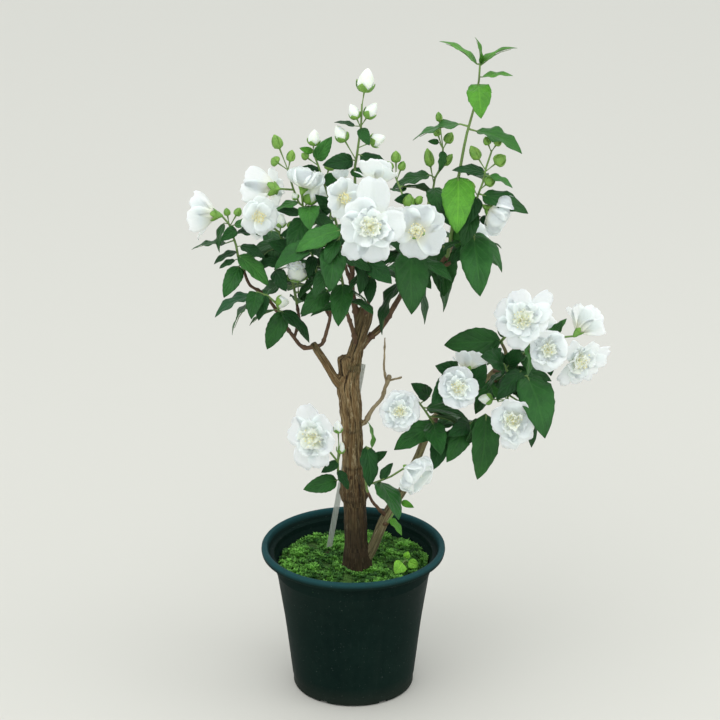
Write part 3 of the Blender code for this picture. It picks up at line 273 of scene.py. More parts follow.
# %% The group Veins
veins, given, result = new_group(
    "veins", (("UV", "Vector", None), ("Pairs", "Float", 5.0), ("Slant", "Float", 0.5)), ("Line", "Swell"))
split = add_node(veins, "SeparateXYZ", {0: given["UV"]})
aside = times(veins, maths(veins, "ABSOLUTE", maths(veins, "SUBTRACT", split[0], 0.5)), 2.0)
slanted = times(veins, maths(veins, "POWER", aside, 0.8), given["Slant"])
phase = maths(veins, "FRACT", times(veins, maths(veins, "SUBTRACT", split[1], slanted), given["Pairs"]))
off = maths(veins, "ABSOLUTE", maths(veins, "SUBTRACT", phase, 0.5))
side_line = times(veins, spread(veins, off, 0.05, 0.13, 1.0, 0.0), spread(veins, aside, 0.55, 1.0, 0.6, 0.15))
midrib = spread(veins, aside, 0.03, 0.10, 1.0, 0.0)
veins.links.new(maths(veins, "MAXIMUM", side_line, midrib), result["Line"])
swell = times(veins, spread(veins, off, 0.0, 0.4), spread(veins, aside, 0.0, 0.25))
veins.links.new(swell, result["Swell"])
print("groups:", patches.name, veins.name)

# %% [markdown]
# ## The pot
# A nursery pot is injection moulded in one piece: a thin tapered wall, a rolled lip to lift it by, a faint
# ring below the lip where stacked pots stop, a flat floor with drain holes, and notches in the foot ring
# that let water out. It is drawn as a hand would draw it, as rings extruded one from the other.

# %% The rings of the pot, as radius and height in millimetres
RIM_RADIUS = 90 * MM
POT_HEIGHT = 148 * MM
BASE_RADIUS = 59.5 * MM
LIP_WIDTH = 9 * MM
FLOOR = 2.6 * MM
WALL = 1.8 * MM
POT_STEPS = 112
POT_RINGS = (
    (57.3, 0), (58.6, 0.5), (59.3, 2), (59.5, 11), (60.4, 17), (67.9, 75), (75.0, 121.3), (75.9, 122.4),
    (76.1, 123.6), (75.9, 124.6), (77.6, 139.4), (79.2, 140.6), (86.5, 141.0), (88.4, 140.4), (89.4, 141.2),
    (90, 144), (89.8, 146.2), (89.0, 147.4), (87.8, 148), (86.0, 148), (84.6, 147.2), (83.8, 145.4),
    (82.6, 142), (75.2, 132), (72, 112), (60.4, 12), (57.9, 3.6), (56.4, 2.6), (30, 2.6),
)

def turned(rings, steps):
    """A filled circle extruded from ring to ring, each a radius and a height, and closed at its middle."""
    bpy.ops.mesh.primitive_circle_add(vertices=steps, radius=rings[0][0], fill_type="TRIFAN",
                                      location=(0, 0, rings[0][1]))
    body = bpy.context.object
    bpy.ops.object.transform_apply(location=True)
    bpy.ops.object.mode_set(mode="EDIT")
    bpy.ops.mesh.select_all(action="DESELECT")
    bpy.ops.mesh.select_mode(type="EDGE")
    bpy.ops.mesh.select_non_manifold()
    for before, after in zip(rings, rings[1:]):
        bpy.ops.mesh.extrude_region_move(TRANSFORM_OT_translate={"value": (0, 0, after[1] - before[1])})
        grow = after[0] / before[0]
        bpy.ops.transform.resize(value=(grow, grow, 1), center_override=(0, 0, after[1]))
    bpy.ops.mesh.extrude_region_move()
    bpy.ops.mesh.merge(type="CENTER")
    bpy.ops.mesh.select_all(action="SELECT")
    bpy.ops.mesh.normals_make_consistent(inside=False)
    bpy.ops.object.mode_set(mode="OBJECT")
    return body

# %% Extrude the pot
pot = turned([(radius * MM, height * MM) for radius, height in POT_RINGS], POT_STEPS)
print("pot:", len(pot.data.polygons), "faces")

# %% Drain holes and foot notches
DRAIN_HOLES = 6
DRAIN_RADIUS, DRAIN_CIRCLE = 4.5 * MM, 38 * MM
FOOT_NOTCH = (8 * MM, 9 * MM, 5 * MM)
SHARP_EDGE = math.radians(32)

def on_circle(radius, turn):
    return radius * math.cos(turn), radius * math.sin(turn), 0

def cut_away(piece, cutter):
    """Cuts one object out of another and removes the cutter."""
    apply_modifier(piece, "BOOLEAN", operation="DIFFERENCE", solver="EXACT", object=cutter)
    bpy.data.objects.remove(cutter)

for index in range(DRAIN_HOLES):
    turn = math.tau * (index + 0.5) / DRAIN_HOLES
    bpy.ops.mesh.primitive_cylinder_add(vertices=20, radius=DRAIN_RADIUS, depth=12 * MM,
                                        location=on_circle(DRAIN_CIRCLE, turn))
    cut_away(pot, bpy.context.object)
    turn = math.tau * index / DRAIN_HOLES
    bpy.ops.mesh.primitive_cube_add(size=1, scale=FOOT_NOTCH, rotation=(0, 0, turn),
                                    location=on_circle(BASE_RADIUS, turn))
    cut_away(pot, bpy.context.object)
only(pot)
bpy.ops.object.shade_smooth_by_angle(angle=SHARP_EDGE)
print("pot with its holes:", len(pot.data.polygons), "faces")

# %% [markdown]
# ### Green-black plastic
# The plastic is nearly black with a green cast. The top of the rolled lip carries a painted reflection of the
# sky, a lighter teal. Handling leaves faint upright scuffs, watering leaves pale specks of lime, and rain
# leaves the foot a little dusty.

# %% Pot material
paint, tree, shader = new_material("moulded_plastic", Specular_IOR_Level=0.02)
place = add_node(tree, "TexCoord")["Object"]
height = add_node(tree, "SeparateXYZ", {0: place})[2]
uneven = mottled(tree, place, 14.0)
scuffs = spread(tree, streaks_at(tree, place, (420, 420, 22), 4.0, 0.6), 0.60, 0.78)
lime = spread(tree, noise_at(tree, place, 900.0, 1.0), 0.74, 0.80)
runs = spread(tree, streaks_at(tree, place, (90, 90, 5), 2.0), 0.5, 0.75)
colour = layered(
    tree, blend(tree, uneven, (0.0035, 0.0115, 0.0095), (0.0065, 0.0175, 0.0140)),
    # painted reflection: the top of the rolled lip is a lighter teal, as if it caught the sky
    (spread(tree, height, 0.1425, 0.1465), (0.0150, 0.0580, 0.0630)),
    (times(tree, runs, 0.25), (0.012, 0.022, 0.018)),
    (times(tree, scuffs, 0.30), (0.022, 0.036, 0.031)),
    (times(tree, lime, 0.55), (0.20, 0.23, 0.21)),
    (spread(tree, height, 0.02, 0.0, 0.0, 0.4), (0.035, 0.036, 0.028)))
rough = plus(tree, spread(tree, uneven, 0, 1, 0.42, 0.56), times(tree, scuffs, 0.2))
grain = plus(tree, noise_at(tree, place, 500.0), times(tree, scuffs, 0.8))
feed(tree, shader, colour, rough, grain, 0.12 * MM, 0.35)
finished(pot, "nursery_pot", "pot_plastic", ["pot"], paint)
print(pot.name, [round(side * 1000, 1) for side in pot.dimensions], "mm")

# %% [markdown]
# ## Where everything grows
# The CAD model was laid out by the pixels at which the photograph shows each stem, leaf, bud and bloom, and
# by depths that keep them apart. The same layout is worked out again here, so that a fine leaf lands where
# the plain one is. A letter at the end of a leaf gives its green and one at the end of a bud gives its kind.
# The limbs come first: pixel across, pixel down, depth behind the trunk in mm, diameter in mm.

# %% The limbs
LIMBS = {
    "trunk": ((357, 572, -13, 31), (357, 556, -13, 28), (356, 540, -12, 23.5), (355, 506, -10, 22.5),
        (354, 495, -10, 27), (353, 483, -9, 25), (353, 466, -7, 21.5), (352, 430, -4, 20.5),
        (350, 400, -2, 22.5), (348, 385, 0, 23), (350, 371, 0, 21), (354, 358, 0, 16), (358, 342, 0, 14),
        (365, 317, -2, 15), (367, 306, -2, 13)),
    "knob": ((352, 372, 0, 13), (346, 364, -3, 12), (340, 357, -6, 10)),
    "left_branch": ((349, 392, -1, 10), (338, 383, -4, 9), (325, 362, -6, 8.2), (317, 350, -8, 7.8),
        (313, 343, -8, 6.5)),
    "far_left": ((315, 346, -8, 5), (307, 348, -9, 4.2), (300, 345, -10, 3.8), (293, 336, -12, 3.6),
        (287, 328, -12, 3.5), (275, 308, -6, 3.3), (262, 293, -3, 3.2), (250, 285, -5, 3),
        (244, 271, -6, 2.8)),
    "low_left": ((288, 330, -12, 3), (284, 322, -18, 2.8), (281, 317, -23, 2.6)),
    "mid_left": ((294, 338, -12, 3.2), (299, 321, 0, 3), (297, 305, 9, 2.8)),
    "top_left": ((315, 346, -8, 4.4), (322, 344, -7, 3.6), (327, 330, -5, 3.4), (330, 317, -2, 3.2),
        (329, 305, 4, 3), (322, 288, 12, 2.8)),
    "spike": ((356, 345, 0, 8), (358, 335, -2, 6.5), (357, 318, -2, 6), (352, 290, 0, 5.4),
        (353, 262, 6, 4.4), (355, 238, 9, 3.4)),
    "top_mid": ((352, 286, 0, 3.6), (346, 268, 10, 3.2), (341, 246, 16, 2.8)),
    "front_left": ((356, 343, -4, 5), (352, 328, -14, 4), (347, 313, -24, 3.4)),
    "centre": ((364, 318, -4, 5), (369, 300, -16, 3.6), (370, 287, -24, 3)),
    "right_limb": ((361, 346, 2, 9), (370, 337, 3, 6.4), (382, 326, 4, 5.8), (399, 298, 2, 5),
        (405, 288, 1, 4.4)),
    "front_right": ((400, 297, 1, 4), (404, 287, -8, 3.4), (407, 277, -16, 3)),
    "tall": ((403, 291, 1, 5), (420, 278, 6, 4.4), (436, 268, 6, 4.2), (446, 257, 4, 3.8)),
    "mid_right": ((420, 278, 6, 3.4), (425, 266, 15, 3), (427, 256, 20, 2.8)),
    "right": ((436, 268, 6, 3.6), (450, 263, -1, 3), (459, 253, -6, 2.8)),
    "dead_twig": ((356, 423, -4, 8), (365, 422, -3, 5), (370, 413, 0, 4.2), (376, 405, 3, 3.8),
        (382, 398, 5, 3.6), (385, 388, 6, 3.6), (388, 381, 6, 4.4), (389.5, 375, 6, 3.6)),
    "bare_twig": ((386.5, 383, 6, 2.6), (384, 367, 6, 2), (384.5, 355, 6, 1.8), (385, 338, 6, 1.5)),
    "bare_side": ((387, 381, 6, 2.4), (395, 379, 8, 2), (402, 377, 9, 1.7)),
    "second_stem": ((362, 563, -12, 13), (371, 550, -14, 11), (380, 530, -15, 10.4), (388, 512, -14, 10),
        (396, 500, -10, 9.6), (404, 488, -4, 9.2), (412, 470, 2, 8.6), (421, 449, 6, 8), (428, 430, 8, 7.6),
        (434, 418, 8, 7.2), (452, 405, 7, 6.6), (470, 395, 5, 6), (488, 377, 2, 5.4), (503, 361, 0, 4.8),
        (506, 353, 0, 4), (502, 344, -1, 3.4)),
    "branch_right": ((503, 361, 0, 4), (513, 357, 0, 3.2), (521, 355, 0, 2.8)),
    "branch_fan": ((494, 371, 1, 4), (500, 370, -9, 3), (504, 369, -15, 2.6)),
    "branch_mid": ((466, 397, 5, 4), (468, 391, -6, 3), (467, 388, -14, 2.6)),
    "branch_low": ((436, 416, 8, 4), (437, 424, 0, 3), (439, 428, -8, 2.6)),
    "low_right": ((386, 516, -15, 5), (379, 509, -22, 3.2), (372, 501, -27, 2.9), (368, 492, -29, 2.6)),
    "foot_left": ((352, 478, -12, 6), (344, 481, -20, 3.4), (341, 480, -25, 2.8)),
    "sprout": ((383, 524, -15, 4), (387, 524, -27, 2.6), (388, 522, -33, 2.4)),
    "back_left": ((330, 317, -2, 3.2), (322, 303, 18, 3), (312, 290, 34, 2.6)),
    "back_mid": ((353, 274, 4, 4), (348, 262, 24, 3.2), (342, 250, 44, 2.6)),
    "back_centre": ((354, 252, 8, 3.6), (364, 244, 24, 3), (374, 236, 42, 2.6)),
    "back_right": ((402, 293, 2, 4), (406, 279, 22, 3.2), (410, 264, 42, 2.6)),
    "back_tall": ((446, 260, 4, 3.6), (450, 250, 22, 3), (454, 240, 38, 2.6)),
    "branch_back": ((488, 377, 2, 4), (492, 380, 14, 3), (496, 381, 26, 2.6)),
}

# %% [markdown]
# ### The leafy stems
# line and sides give a stem and its side stems as pixel across, pixel down and depth. A leaf has the pixels
# of its base and tip, its width in pixels and its green: m mid, l light, d deep, b bluish, y young. Light and
# deep are partly the leaf's own green and partly painted light and shade, light for leaves lit at the top of
# the crown and deep for leaves shaded below and inside it. A bud has its middle, width and height, the foot
# of
# its stalk, and its kind: g green, c cream, w white, r ruffled. A bloom has its name, middle, depth, radius
# in pixels, the way it faces, its form and the foot of its stalk.

# %% The leafy stems that the picture shows
SHOOTS = {
    "far_left": dict(
        line=((238, 256, -8), (236, 245, -9), (229, 224, -9)),
        leaves=((239, 266, 226, 297, 18, "m"), (240, 255, 272, 284, 16, "l"), (234, 225, 264, 223, 10, "l"),
            (224, 223, 217, 252, 8, "m"), (226, 243, 191, 247, 8, "m"), (236, 233, 268, 234, 8, "d"),
            (236, 229, 222, 240, 12, "m"), (240, 246, 266, 257, 10, "d"), (236, 252, 212, 263, 6, "d"),
            (235, 260, 219, 268, 6, "d")),
        buds=((238, 212, 7, 9, 231, 226, "g"), (227, 212, 6, 8, 230, 223, "g")),
        blooms=(("far_left", 206, 214, -8, 23, (-0.85, 0.1, -0.35), "cup", 229, 224),)),
    "low_left": dict(
        line=((277, 304, -27), (268, 296, -29), (257, 292, -29)),
        leaves=((255, 292, 249, 316, 18, "m"), (265, 293, 260, 318, 14, "d"), (284, 312, 267, 349, 20, "m"),
            (281, 311, 312, 340, 12, "d"), (257, 296, 228, 332, 6, "m"), (256, 295, 213, 313, 7, "b")),
        buds=((282, 302, 12, 13, 274, 302, "c"),)),
    "mid_left": dict(
        line=((293, 283, 10), (288, 262, 6), (284, 246, 2), (279, 232, -4)),
        sides=(((299, 292, 2),),),
        leaves=((296, 252, 271, 243, 18, "d"), (275, 270, 288, 290, 16, "d"),
            (284, 262, 262, 262, 12, "d")),
        buds=((281, 221, 10, 14, 281, 234, "c"), (291, 225, 7, 8, 285, 240, "g"),
            (297, 272, 20, 20, 298, 290, "r")),
        blooms=(("mid_left", 259, 217, -30, 19, (0.25, -0.15, 0.95), "open", 279, 232),)),
    "top_left": dict(
        line=((316, 270, 14), (311, 250, 12), (307, 228, 6), (304, 207, 0), (299, 203, 0), (293, 188, 0),
            (290, 178, 0), (288, 170, 0)),
        leaves=((297, 203, 271, 212, 8, "l"), (300, 214, 277, 210, 10, "d"), (309, 206, 312, 228, 22, "l"),
            (313, 256, 309, 278, 12, "d"), (305, 230, 282, 236, 14, "d"), (313, 240, 334, 232, 14, "d")),
        buds=((277, 142, 10, 15, 286, 168, "g"), (275, 161, 10, 8, 288, 170, "g"),
            (291, 156, 8, 12, 289, 170, "g"), (312, 194, 15, 24, 304, 208, "w"),
            (295, 196, 7, 8, 301, 205, "w")),
        blooms=(("top_left_out", 270, 188, -6, 25, (-0.72, 0.1, -0.65), "open", 293, 190),
            ("top_left_up", 306, 179, 6, 19, (0.25, 0.85, 0.1), "cup", 303, 206))),
    "front_left": dict(
        line=((345, 296, -32), (340, 268, -44), (337, 247, -52), (341, 230, -54)),
        sides=(((328, 290, -40),),),
        leaves=((334, 246, 332, 290, 27, "m"), (341, 284, 339, 325, 23, "m"), (327, 290, 300, 313, 22, "m"),
            (326, 300, 300, 315, 10, "d"), (340, 228, 293, 247, 20, "l"), (316, 243, 273, 268, 20, "m"))),
    "top_mid": dict(
        line=((336, 222, 18), (329, 198, 15), (318, 165, 10), (313, 152, 10)),
        leaves=((316, 160, 331, 139, 15, "l"), (313, 150, 300, 146, 7, "y"), (324, 182, 344, 176, 14, "m"),
            (321, 172, 298, 170, 12, "d"), (333, 210, 318, 196, 16, "d")),
        buds=((314, 138, 12, 16, 313, 152, "w"), (305, 156, 7, 8, 317, 166, "g"),
            (330, 165, 10, 12, 324, 184, "g")),
        blooms=(("top_mid", 341, 176, -2, 10, (-0.1, 0.95, 0.25), "cup", 331, 202),)),
    "spike": dict(
        line=((356, 218, 10), (355, 190, 8), (355, 166, 4), (357, 155, 2), (359, 140, 0), (361, 127, 0),
            (362, 104, 0)),
        leaves=((355, 126, 334, 122, 6, "d"), (361, 128, 368, 146, 12, "m"), (353, 160, 325, 166, 17, "d"),
            (360, 155, 393, 176, 16, "d"), (350, 172, 371, 175, 10, "m")),
        buds=((366, 81, 17, 24, 362, 106, "w"), (354, 112, 11, 16, 361, 128, "c"),
            (371, 111, 12, 18, 361, 126, "w"), (341, 134, 13, 18, 356, 160, "w"),
            (377, 140, 13, 16, 359, 148, "w"))),
    "centre": dict(
        line=((369, 268, -38), (367, 250, -50), (362, 236, -54)),
        leaves=((360, 258, 361, 295, 14, "d"), (372, 276, 372, 303, 14, "d"), (366, 262, 388, 284, 20, "d"),
            (354, 189, 357, 200, 8, "m")),
        blooms=(("centre_front", 370, 227, -88, 31, (0.05, -0.05, 1.0), "double", 366, 248),
            ("centre_left", 346, 198, -62, 19, (0.45, 0.1, 0.85), "cup", 362, 237),
            ("centre_up", 376, 180, -40, 20, (0.1, 0.85, -0.3), "open", 364, 238))),
    "front_right": dict(
        line=((410, 262, -26), (411, 244, -30), (409, 220, -20), (403, 196, -8), (396, 178, 0)),
        leaves=((412, 248, 408, 313, 35, "m"), (400, 282, 377, 333, 23, "d"), (412, 272, 426, 324, 14, "d"),
            (413, 198, 395, 201, 12, "d"), (404, 214, 384, 226, 12, "d"), (406, 208, 424, 196, 12, "d")),
        buds=((396, 157, 9, 12, 396, 178, "g"), (389, 166, 8, 10, 396, 178, "g"),
            (402, 166, 7, 10, 397, 180, "g"), (409, 201, 11, 13, 407, 216, "g"),
            (419, 200, 7, 9, 408, 218, "g")),
        blooms=(("front_right", 417, 231, -66, 25, (0.05, -0.05, 1.0), "open", 411, 246),)),
    "mid_right": dict(
        line=((428, 236, 20), (429, 206, 16), (432, 195, 14), (435, 178, 12), (442, 165, 10),
            (443, 149, 10)),
        leaves=((430, 175, 391, 188, 13, "m"), (443, 151, 439, 172, 9, "m"), (439, 142, 428, 142, 6, "m"),
            (444, 246, 445, 296, 27, "m"), (430, 246, 450, 311, 16, "d"), (430, 216, 412, 234, 14, "d")),
        buds=((429, 158, 9, 19, 433, 184, "g"), (448, 160, 7, 14, 436, 178, "g"),
            (439, 117, 6, 10, 443, 149, "g"), (437, 132, 7, 9, 443, 149, "g"),
            (449, 138, 9, 12, 443, 149, "g"))),
    "tall": dict(
        line=((452, 230, 0), (455, 204, -2), (458, 180, -4), (464, 147, -4), (467, 133, -4), (474, 108, -4),
            (479, 80, -4), (480, 64, -4)),
        leaves=((477, 64, 441, 39, 7, "y"), (480, 63, 478, 36, 5, "y"), (482, 66, 517, 44, 6, "y"),
            (482, 77, 513, 75, 6, "y"), (478, 84, 479, 118, 25, "y"), (460, 124, 412, 138, 11, "l"),
            (476, 131, 522, 151, 13, "l"), (458, 177, 458, 232, 33, "y"), (455, 228, 478, 262, 20, "l"))),
    "right": dict(
        line=((466, 232, -14), (474, 212, -16), (478, 195, -14), (483, 182, -12), (486, 168, -10),
            (492, 150, -8)),
        leaves=((474, 236, 480, 294, 33, "m"), (473, 233, 505, 270, 14, "m"), (482, 195, 527, 213, 20, "m"),
            (478, 197, 463, 227, 18, "d"), (483, 172, 450, 169, 12, "d"), (489, 176, 513, 187, 7, "l"),
            (481, 217, 492, 227, 9, "d"), (470, 222, 443, 222, 14, "d"), (468, 246, 452, 262, 12, "d")),
        buds=((475, 153, 10, 16, 485, 170, "g"), (487, 141, 7, 9, 491, 152, "g"),
            (498, 142, 7, 9, 492, 152, "g"), (500, 160, 12, 13, 486, 172, "g"),
            (490, 181, 10, 12, 481, 190, "g"), (471, 185, 6, 12, 478, 196, "g")),
        blooms=(("right", 498, 214, -22, 22, (0.82, -0.45, -0.15), "cup", 478, 200),)),
    "second_stem": dict(
        line=((504, 338, -8), (510, 330, -14), (514, 324, -18)),
        leaves=((500, 340, 443, 344, 27, "m"), (504, 337, 498, 318, 10, "d"),
            (507, 334, 527, 326, 14, "d")),
        blooms=(("branch_top", 523, 319, -52, 29, (0.1, 0.05, 1.0), "double", 512, 328),)),
    "branch_right": dict(
        line=((528, 352, -4), (538, 349, -8), (552, 345, -8), (560, 337, -6)),
        leaves=((527, 344, 529, 380, 10, "l"), (556, 334, 566, 318, 7, "l"), (545, 352, 552, 376, 12, "d"),
            (548, 340, 562, 322, 8, "m")),
        blooms=(("branch_near", 548, 350, -46, 20, (0.0, 0.05, 1.0), "double", 537, 350),
            ("branch_far_up", 583, 326, -4, 18, (0.55, 0.6, -0.35), "cup", 560, 338),
            ("branch_far", 581, 362, -20, 28, (0.55, -0.4, 0.75), "double", 556, 344))),
    "branch_fan": dict(
        line=((509, 373, -22), (512, 382, -26), (511, 392, -30), (506, 400, -34)),
        leaves=((504, 364, 480, 358, 25, "d"), (521, 371, 497, 397, 20, "d"), (527, 376, 546, 432, 36, "m"),
            (508, 366, 518, 346, 16, "d"), (498, 402, 491, 382, 5, "l"), (520, 402, 534, 447, 10, "d")),
        buds=((486, 399, 11, 14, 500, 402, "c"), (503, 392, 9, 10, 507, 400, "c")),
        blooms=(("branch_low_right", 513, 421, -62, 24, (0.05, -0.15, 1.0), "double", 508, 398),)),
    "branch_mid": dict(
        line=((466, 384, -22), (464, 378, -26)),
        leaves=((455, 378, 432, 402, 24, "d"), (470, 386, 484, 366, 22, "d"),
            (458, 372, 438, 368, 20, "d")),
        blooms=(("branch_mid_front", 458, 388, -56, 20, (0.1, 0.05, 1.0), "double", 465, 381),
            ("branch_mid_back", 470, 367, -24, 19, (0.3, 0.75, -0.4), "open", 464, 379))),
    "branch_low": dict(
        line=((441, 432, -14), (434, 424, -20), (424, 409, -26), (417, 400, -30)),
        sides=(((452, 434, -18), (470, 424, -20), (486, 414, -18)),),
        leaves=((430, 396, 412, 386, 16, "d"), (438, 424, 394, 450, 22, "m"), (468, 426, 446, 459, 22, "m"),
            (444, 432, 433, 469, 20, "d"), (487, 415, 479, 481, 30, "m"), (478, 418, 466, 444, 15, "m"),
            (470, 422, 450, 434, 18, "d")),
        blooms=(("branch_low_left", 400, 411, -58, 20, (-0.05, 0.0, 1.0), "open", 420, 404),)),
    "low_right": dict(
        line=((366, 482, -30), (365, 466, -32), (368, 448, -32)),
        sides=(((374, 483, -36), (382, 480, -40), (392, 476, -42)),),
        leaves=((372, 448, 370, 421, 5, "y"), (366, 446, 371, 487, 17, "d"), (381, 480, 392, 462, 9, "d"),
            (380, 482, 396, 516, 26, "m"), (368, 460, 386, 452, 12, "d")),
        blooms=(("low_right", 413, 473, -62, 20, (0.45, -0.35, 0.85), "cup", 391, 476),)),
    "foot_left": dict(
        line=((338, 472, -32), (338, 458, -36), (339, 446, -38)),
        leaves=((338, 462, 322, 472, 10, "d"), (337, 480, 304, 488, 18, "m"), (340, 470, 350, 490, 9, "d")),
        buds=((338, 427, 9, 13, 339, 447, "w"), (341, 448, 8, 12, 338, 464, "c")),
        blooms=(("foot_left", 312, 438, -58, 30, (-0.45, -0.05, 0.9), "double", 338, 462),)),
    "sprout": dict(
        line=((391, 517, -38), (397, 508, -40), (402, 501, -40)),
        leaves=((402, 502, 414, 507, 7, "y"), (391, 519, 403, 536, 8, "y"), (400, 504, 396, 492, 6, "y"))),
}

# %% The stems on the far side
BACK_SHOOTS = {
    "back_left": (((304, 272, 44), (286, 250, 56), (268, 226, 62)), True),
    "back_mid": (((336, 236, 54), (330, 216, 66), (334, 200, 72)), True),
    "back_centre": (((381, 234, 54), (388, 232, 66), (394, 236, 74)), True),
    "back_right": (((416, 246, 54), (426, 218, 66), (430, 190, 74)), False),
    "back_tall": (((460, 236, 48), (466, 238, 60), (468, 244, 68)), True),
    "branch_back": (((508, 374, 36), (522, 358, 46), (534, 338, 52)), True),
}

# %% [markdown]
# ### From pixels to places
# A pixel and a depth fix one point: a ray leaves the camera through the pixel and stops at that depth. The
# other way round, picture tells at which pixel a point shows.

# %% Points and pixels
SOIL_EDGE = 127 * MM
TRUNK_FOOT_DEPTH = 34 * MM
GAP = 0.3 * MM
SHOOT_TIP_RADIUS = 0.9 * MM
TRUNK_PIXEL = 357

def seen(across, down, depth):
    """The point at this depth in millimetres behind the trunk that the photograph shows at this pixel."""
    ray = RIGHT * ((across - PHOTO_CENTRE) / FOCAL_PIXELS) - TOWARD
    ray -= UP * ((down - PHOTO_CENTRE) / FOCAL_PIXELS)
    return CAMERA + ray * ((depth * MM - CAMERA.y) / ray.y)

def picture(point):
    """The pixel at which the photograph shows this point."""
    sight = point - CAMERA
    scale = FOCAL_PIXELS / -sight.dot(TOWARD)
    return PHOTO_CENTRE + scale * sight.dot(RIGHT), PHOTO_CENTRE - scale * sight.dot(UP)

def pixel_size(point):
    return -(point - CAMERA).dot(TOWARD) / FOCAL_PIXELS

def in_view(shares):
    """A direction given as shares to the right, up and toward the camera."""
    return (RIGHT * shares[0] + UP * shares[1] + TOWARD * shares[2]).normalized()

def nearest_on(line, across, down):
    """The point of a line that the photograph shows nearest to a pixel."""
    target = Vector((across, down))
    best = None
    for start, end in zip(line, line[1:]):
        near, far = Vector(picture(start)), Vector(picture(end))
        run = far - near
        share = min(max((target - near).dot(run) / max(run.length_squared, 1e-9), 0.0), 1.0)
        miss = (near + run * share - target).length
        if best is None or miss < best[0]:
            best = (miss, start.lerp(end, share))
    return best[1]

# %% Lines of limbs and stems
def points_and_radii(rows):
    return [seen(*row[:3]) for row in rows], [row[3] * MM / 2 for row in rows]

def limb_line(name):
    """The points and radii of a limb. The trunk's foot goes straight down into the soil."""
    points, radii = points_and_radii(LIMBS[name])
    if name == "trunk":
        foot = Vector((points[0].x, points[0].y, SOIL_EDGE - TRUNK_FOOT_DEPTH))
        points[0].z = SOIL_EDGE
        points.insert(0, foot)
        radii.insert(0, radii[0])
    return points, radii

def shoot_start(name):
    """The first two points of a leafy stem, square to the end of its limb, and its radius there."""
    points, radii = limb_line(name)
    way = (points[-1] - points[-2]).normalized()
    return [points[-1] + way * GAP, points[-1] + way * 3 * MM], radii[-1]

def tapered(line, first, last):
    """A radius for each point of a line, from the first to the last."""
    runs = [0.0]
    for start, end in zip(line, line[1:]):
        runs.append(runs[-1] + (end - start).length)
    return [first + (last - first) * run / runs[-1] for run in runs]

# %% [markdown]
# ### The plain shapes that the layout tests
# Two pieces of the CAD model never touch. To place them the same way, the layout needs their plain shapes
# too: a wedge for a leaf, a ring of lobes for a whorl of petals, and a row of balls for a stalk.

# %% A plain leaf
LEAF_KEEL = 1.3 * MM
STALK_RADIUS = 0.8 * MM
SINK = 0.4 * MM
SHORT_STALK = 5 * MM
Blade = namedtuple("Blade", "root base axis face length half_width rows arch")

def square_to(way, side, face):
    """The side and upper directions nearest to a blade's own that are square to a way."""
    across = side - way * side.dot(way)
    if across.length < 0.35:
        across = way.cross(face)
    across.normalize()
    return across, across.cross(way)

def blade_mesh(blade, swell):
    """Points and faces of a plain leaf, a thin wedge swelled by an amount. Its last row is its tip."""
    side = blade.axis.cross(blade.face)
    stalk = blade.base - blade.root
    way = (stalk + blade.axis * 0.1 * MM).normalized()
    rows = [(blade.root - way * SINK, STALK_RADIUS, way)]
    first = (way + blade.axis * 1.01).normalized()
    for share, width in blade.rows[stalk.length < SHORT_STALK:]:
        lift = blade.arch * 4 * share * (1 - share) * blade.length
        middle = blade.base + blade.axis * share * blade.length + blade.face * lift
        rows.append((middle, width * blade.half_width, blade.axis if share else first))
    points = []
    for middle, half, way in rows:
        across, upper = square_to(way, side, blade.face)
        edge = across * (half + swell)
        top = middle + upper * swell
        points += (top + edge, top - edge, middle - upper * (LEAF_KEEL + swell))
    tip = len(points) - 3
    points[tip:] = [(points[tip] + points[tip + 1]) / 2]
    faces = [(0, 1, 2)]
    for row in range(0, tip - 3, 3):
        a, b, c, d, e, f = range(row, row + 6)
        faces += [(a, d, e), (a, e, b), (b, e, f), (b, f, c), (c, f, d), (c, d, a)]
    a, b, c = tip - 3, tip - 2, tip - 1
    faces += [(a, tip, b), (b, tip, c), (c, tip, a)]
    return points, faces

# %% A plain whorl of petals
WHORLS = {
    "double": ((7, 20, 1.0), (5, 52, 0.70)),
    "open": ((5, 24, 1.0), (3, 55, 0.55)),
    "cup": ((5, 50, 1.1), (3, 68, 0.75)),
}
BROAD_LOBE = ((0.05, 0.80, -0.05), (0.42, 1.04, 0.0), (0.84, 0.88, 0.09))
NARROW_LOBE = ((0.10, 0.84, -0.04), (0.62, 1.0, 0.06))
PETAL_KEEL = 1.2 * MM
Whorl = namedtuple("Whorl", "origin facing turn count lobe length rise curl belly")

def whorl_mesh(whorl, swell):
    """Points and faces of a ring of petals or sepals grown together at the middle.

    The rim is one sharp ring. Between it and the middle a belly ring, where there is one, gives the
    petals their thickness and their curl.
    """
    across = whorl.facing.orthogonal().normalized()
    around = whorl.facing.cross(across)
    rim, upper, lower = [], [], []
    for petal in range(whorl.count):
        for turn, share, lift in whorl.lobe:
            angle = (petal + turn + whorl.turn) * math.tau / whorl.count
            out = across * math.cos(angle) + around * math.sin(angle)
            way = out * math.cos(whorl.rise) + whorl.facing * math.sin(whorl.rise)
            over = whorl.facing * math.cos(whorl.rise) - out * math.sin(whorl.rise)
            length = whorl.length * share
            rim.append(whorl.origin + way * (length + swell) + over * (lift + whorl.curl) * length)
            middle = whorl.origin + way * length * whorl.belly + over * lift * length * 0.5
            upper.append(middle + over * swell)
            lower.append(middle - over * (PETAL_KEEL + swell))
    number = len(rim)
    points = rim + [whorl.origin + whorl.facing * swell]
    points.append(whorl.origin - whorl.facing * (PETAL_KEEL + swell))
    top, bottom = number, number + 1
    faces = []
    if whorl.belly:
        points += upper + lower
    for here in range(number):
        after = (here + 1) % number
        if not whorl.belly:
            faces += [(top, here, after), (bottom, after, here)]
            continue
        for pole, start in ((top, number + 2), (bottom, 2 * number + 2)):
            faces += [(pole, start + here, start + after), (start + here, here, after),
                      (start + here, after, start + after)]
    return points, faces

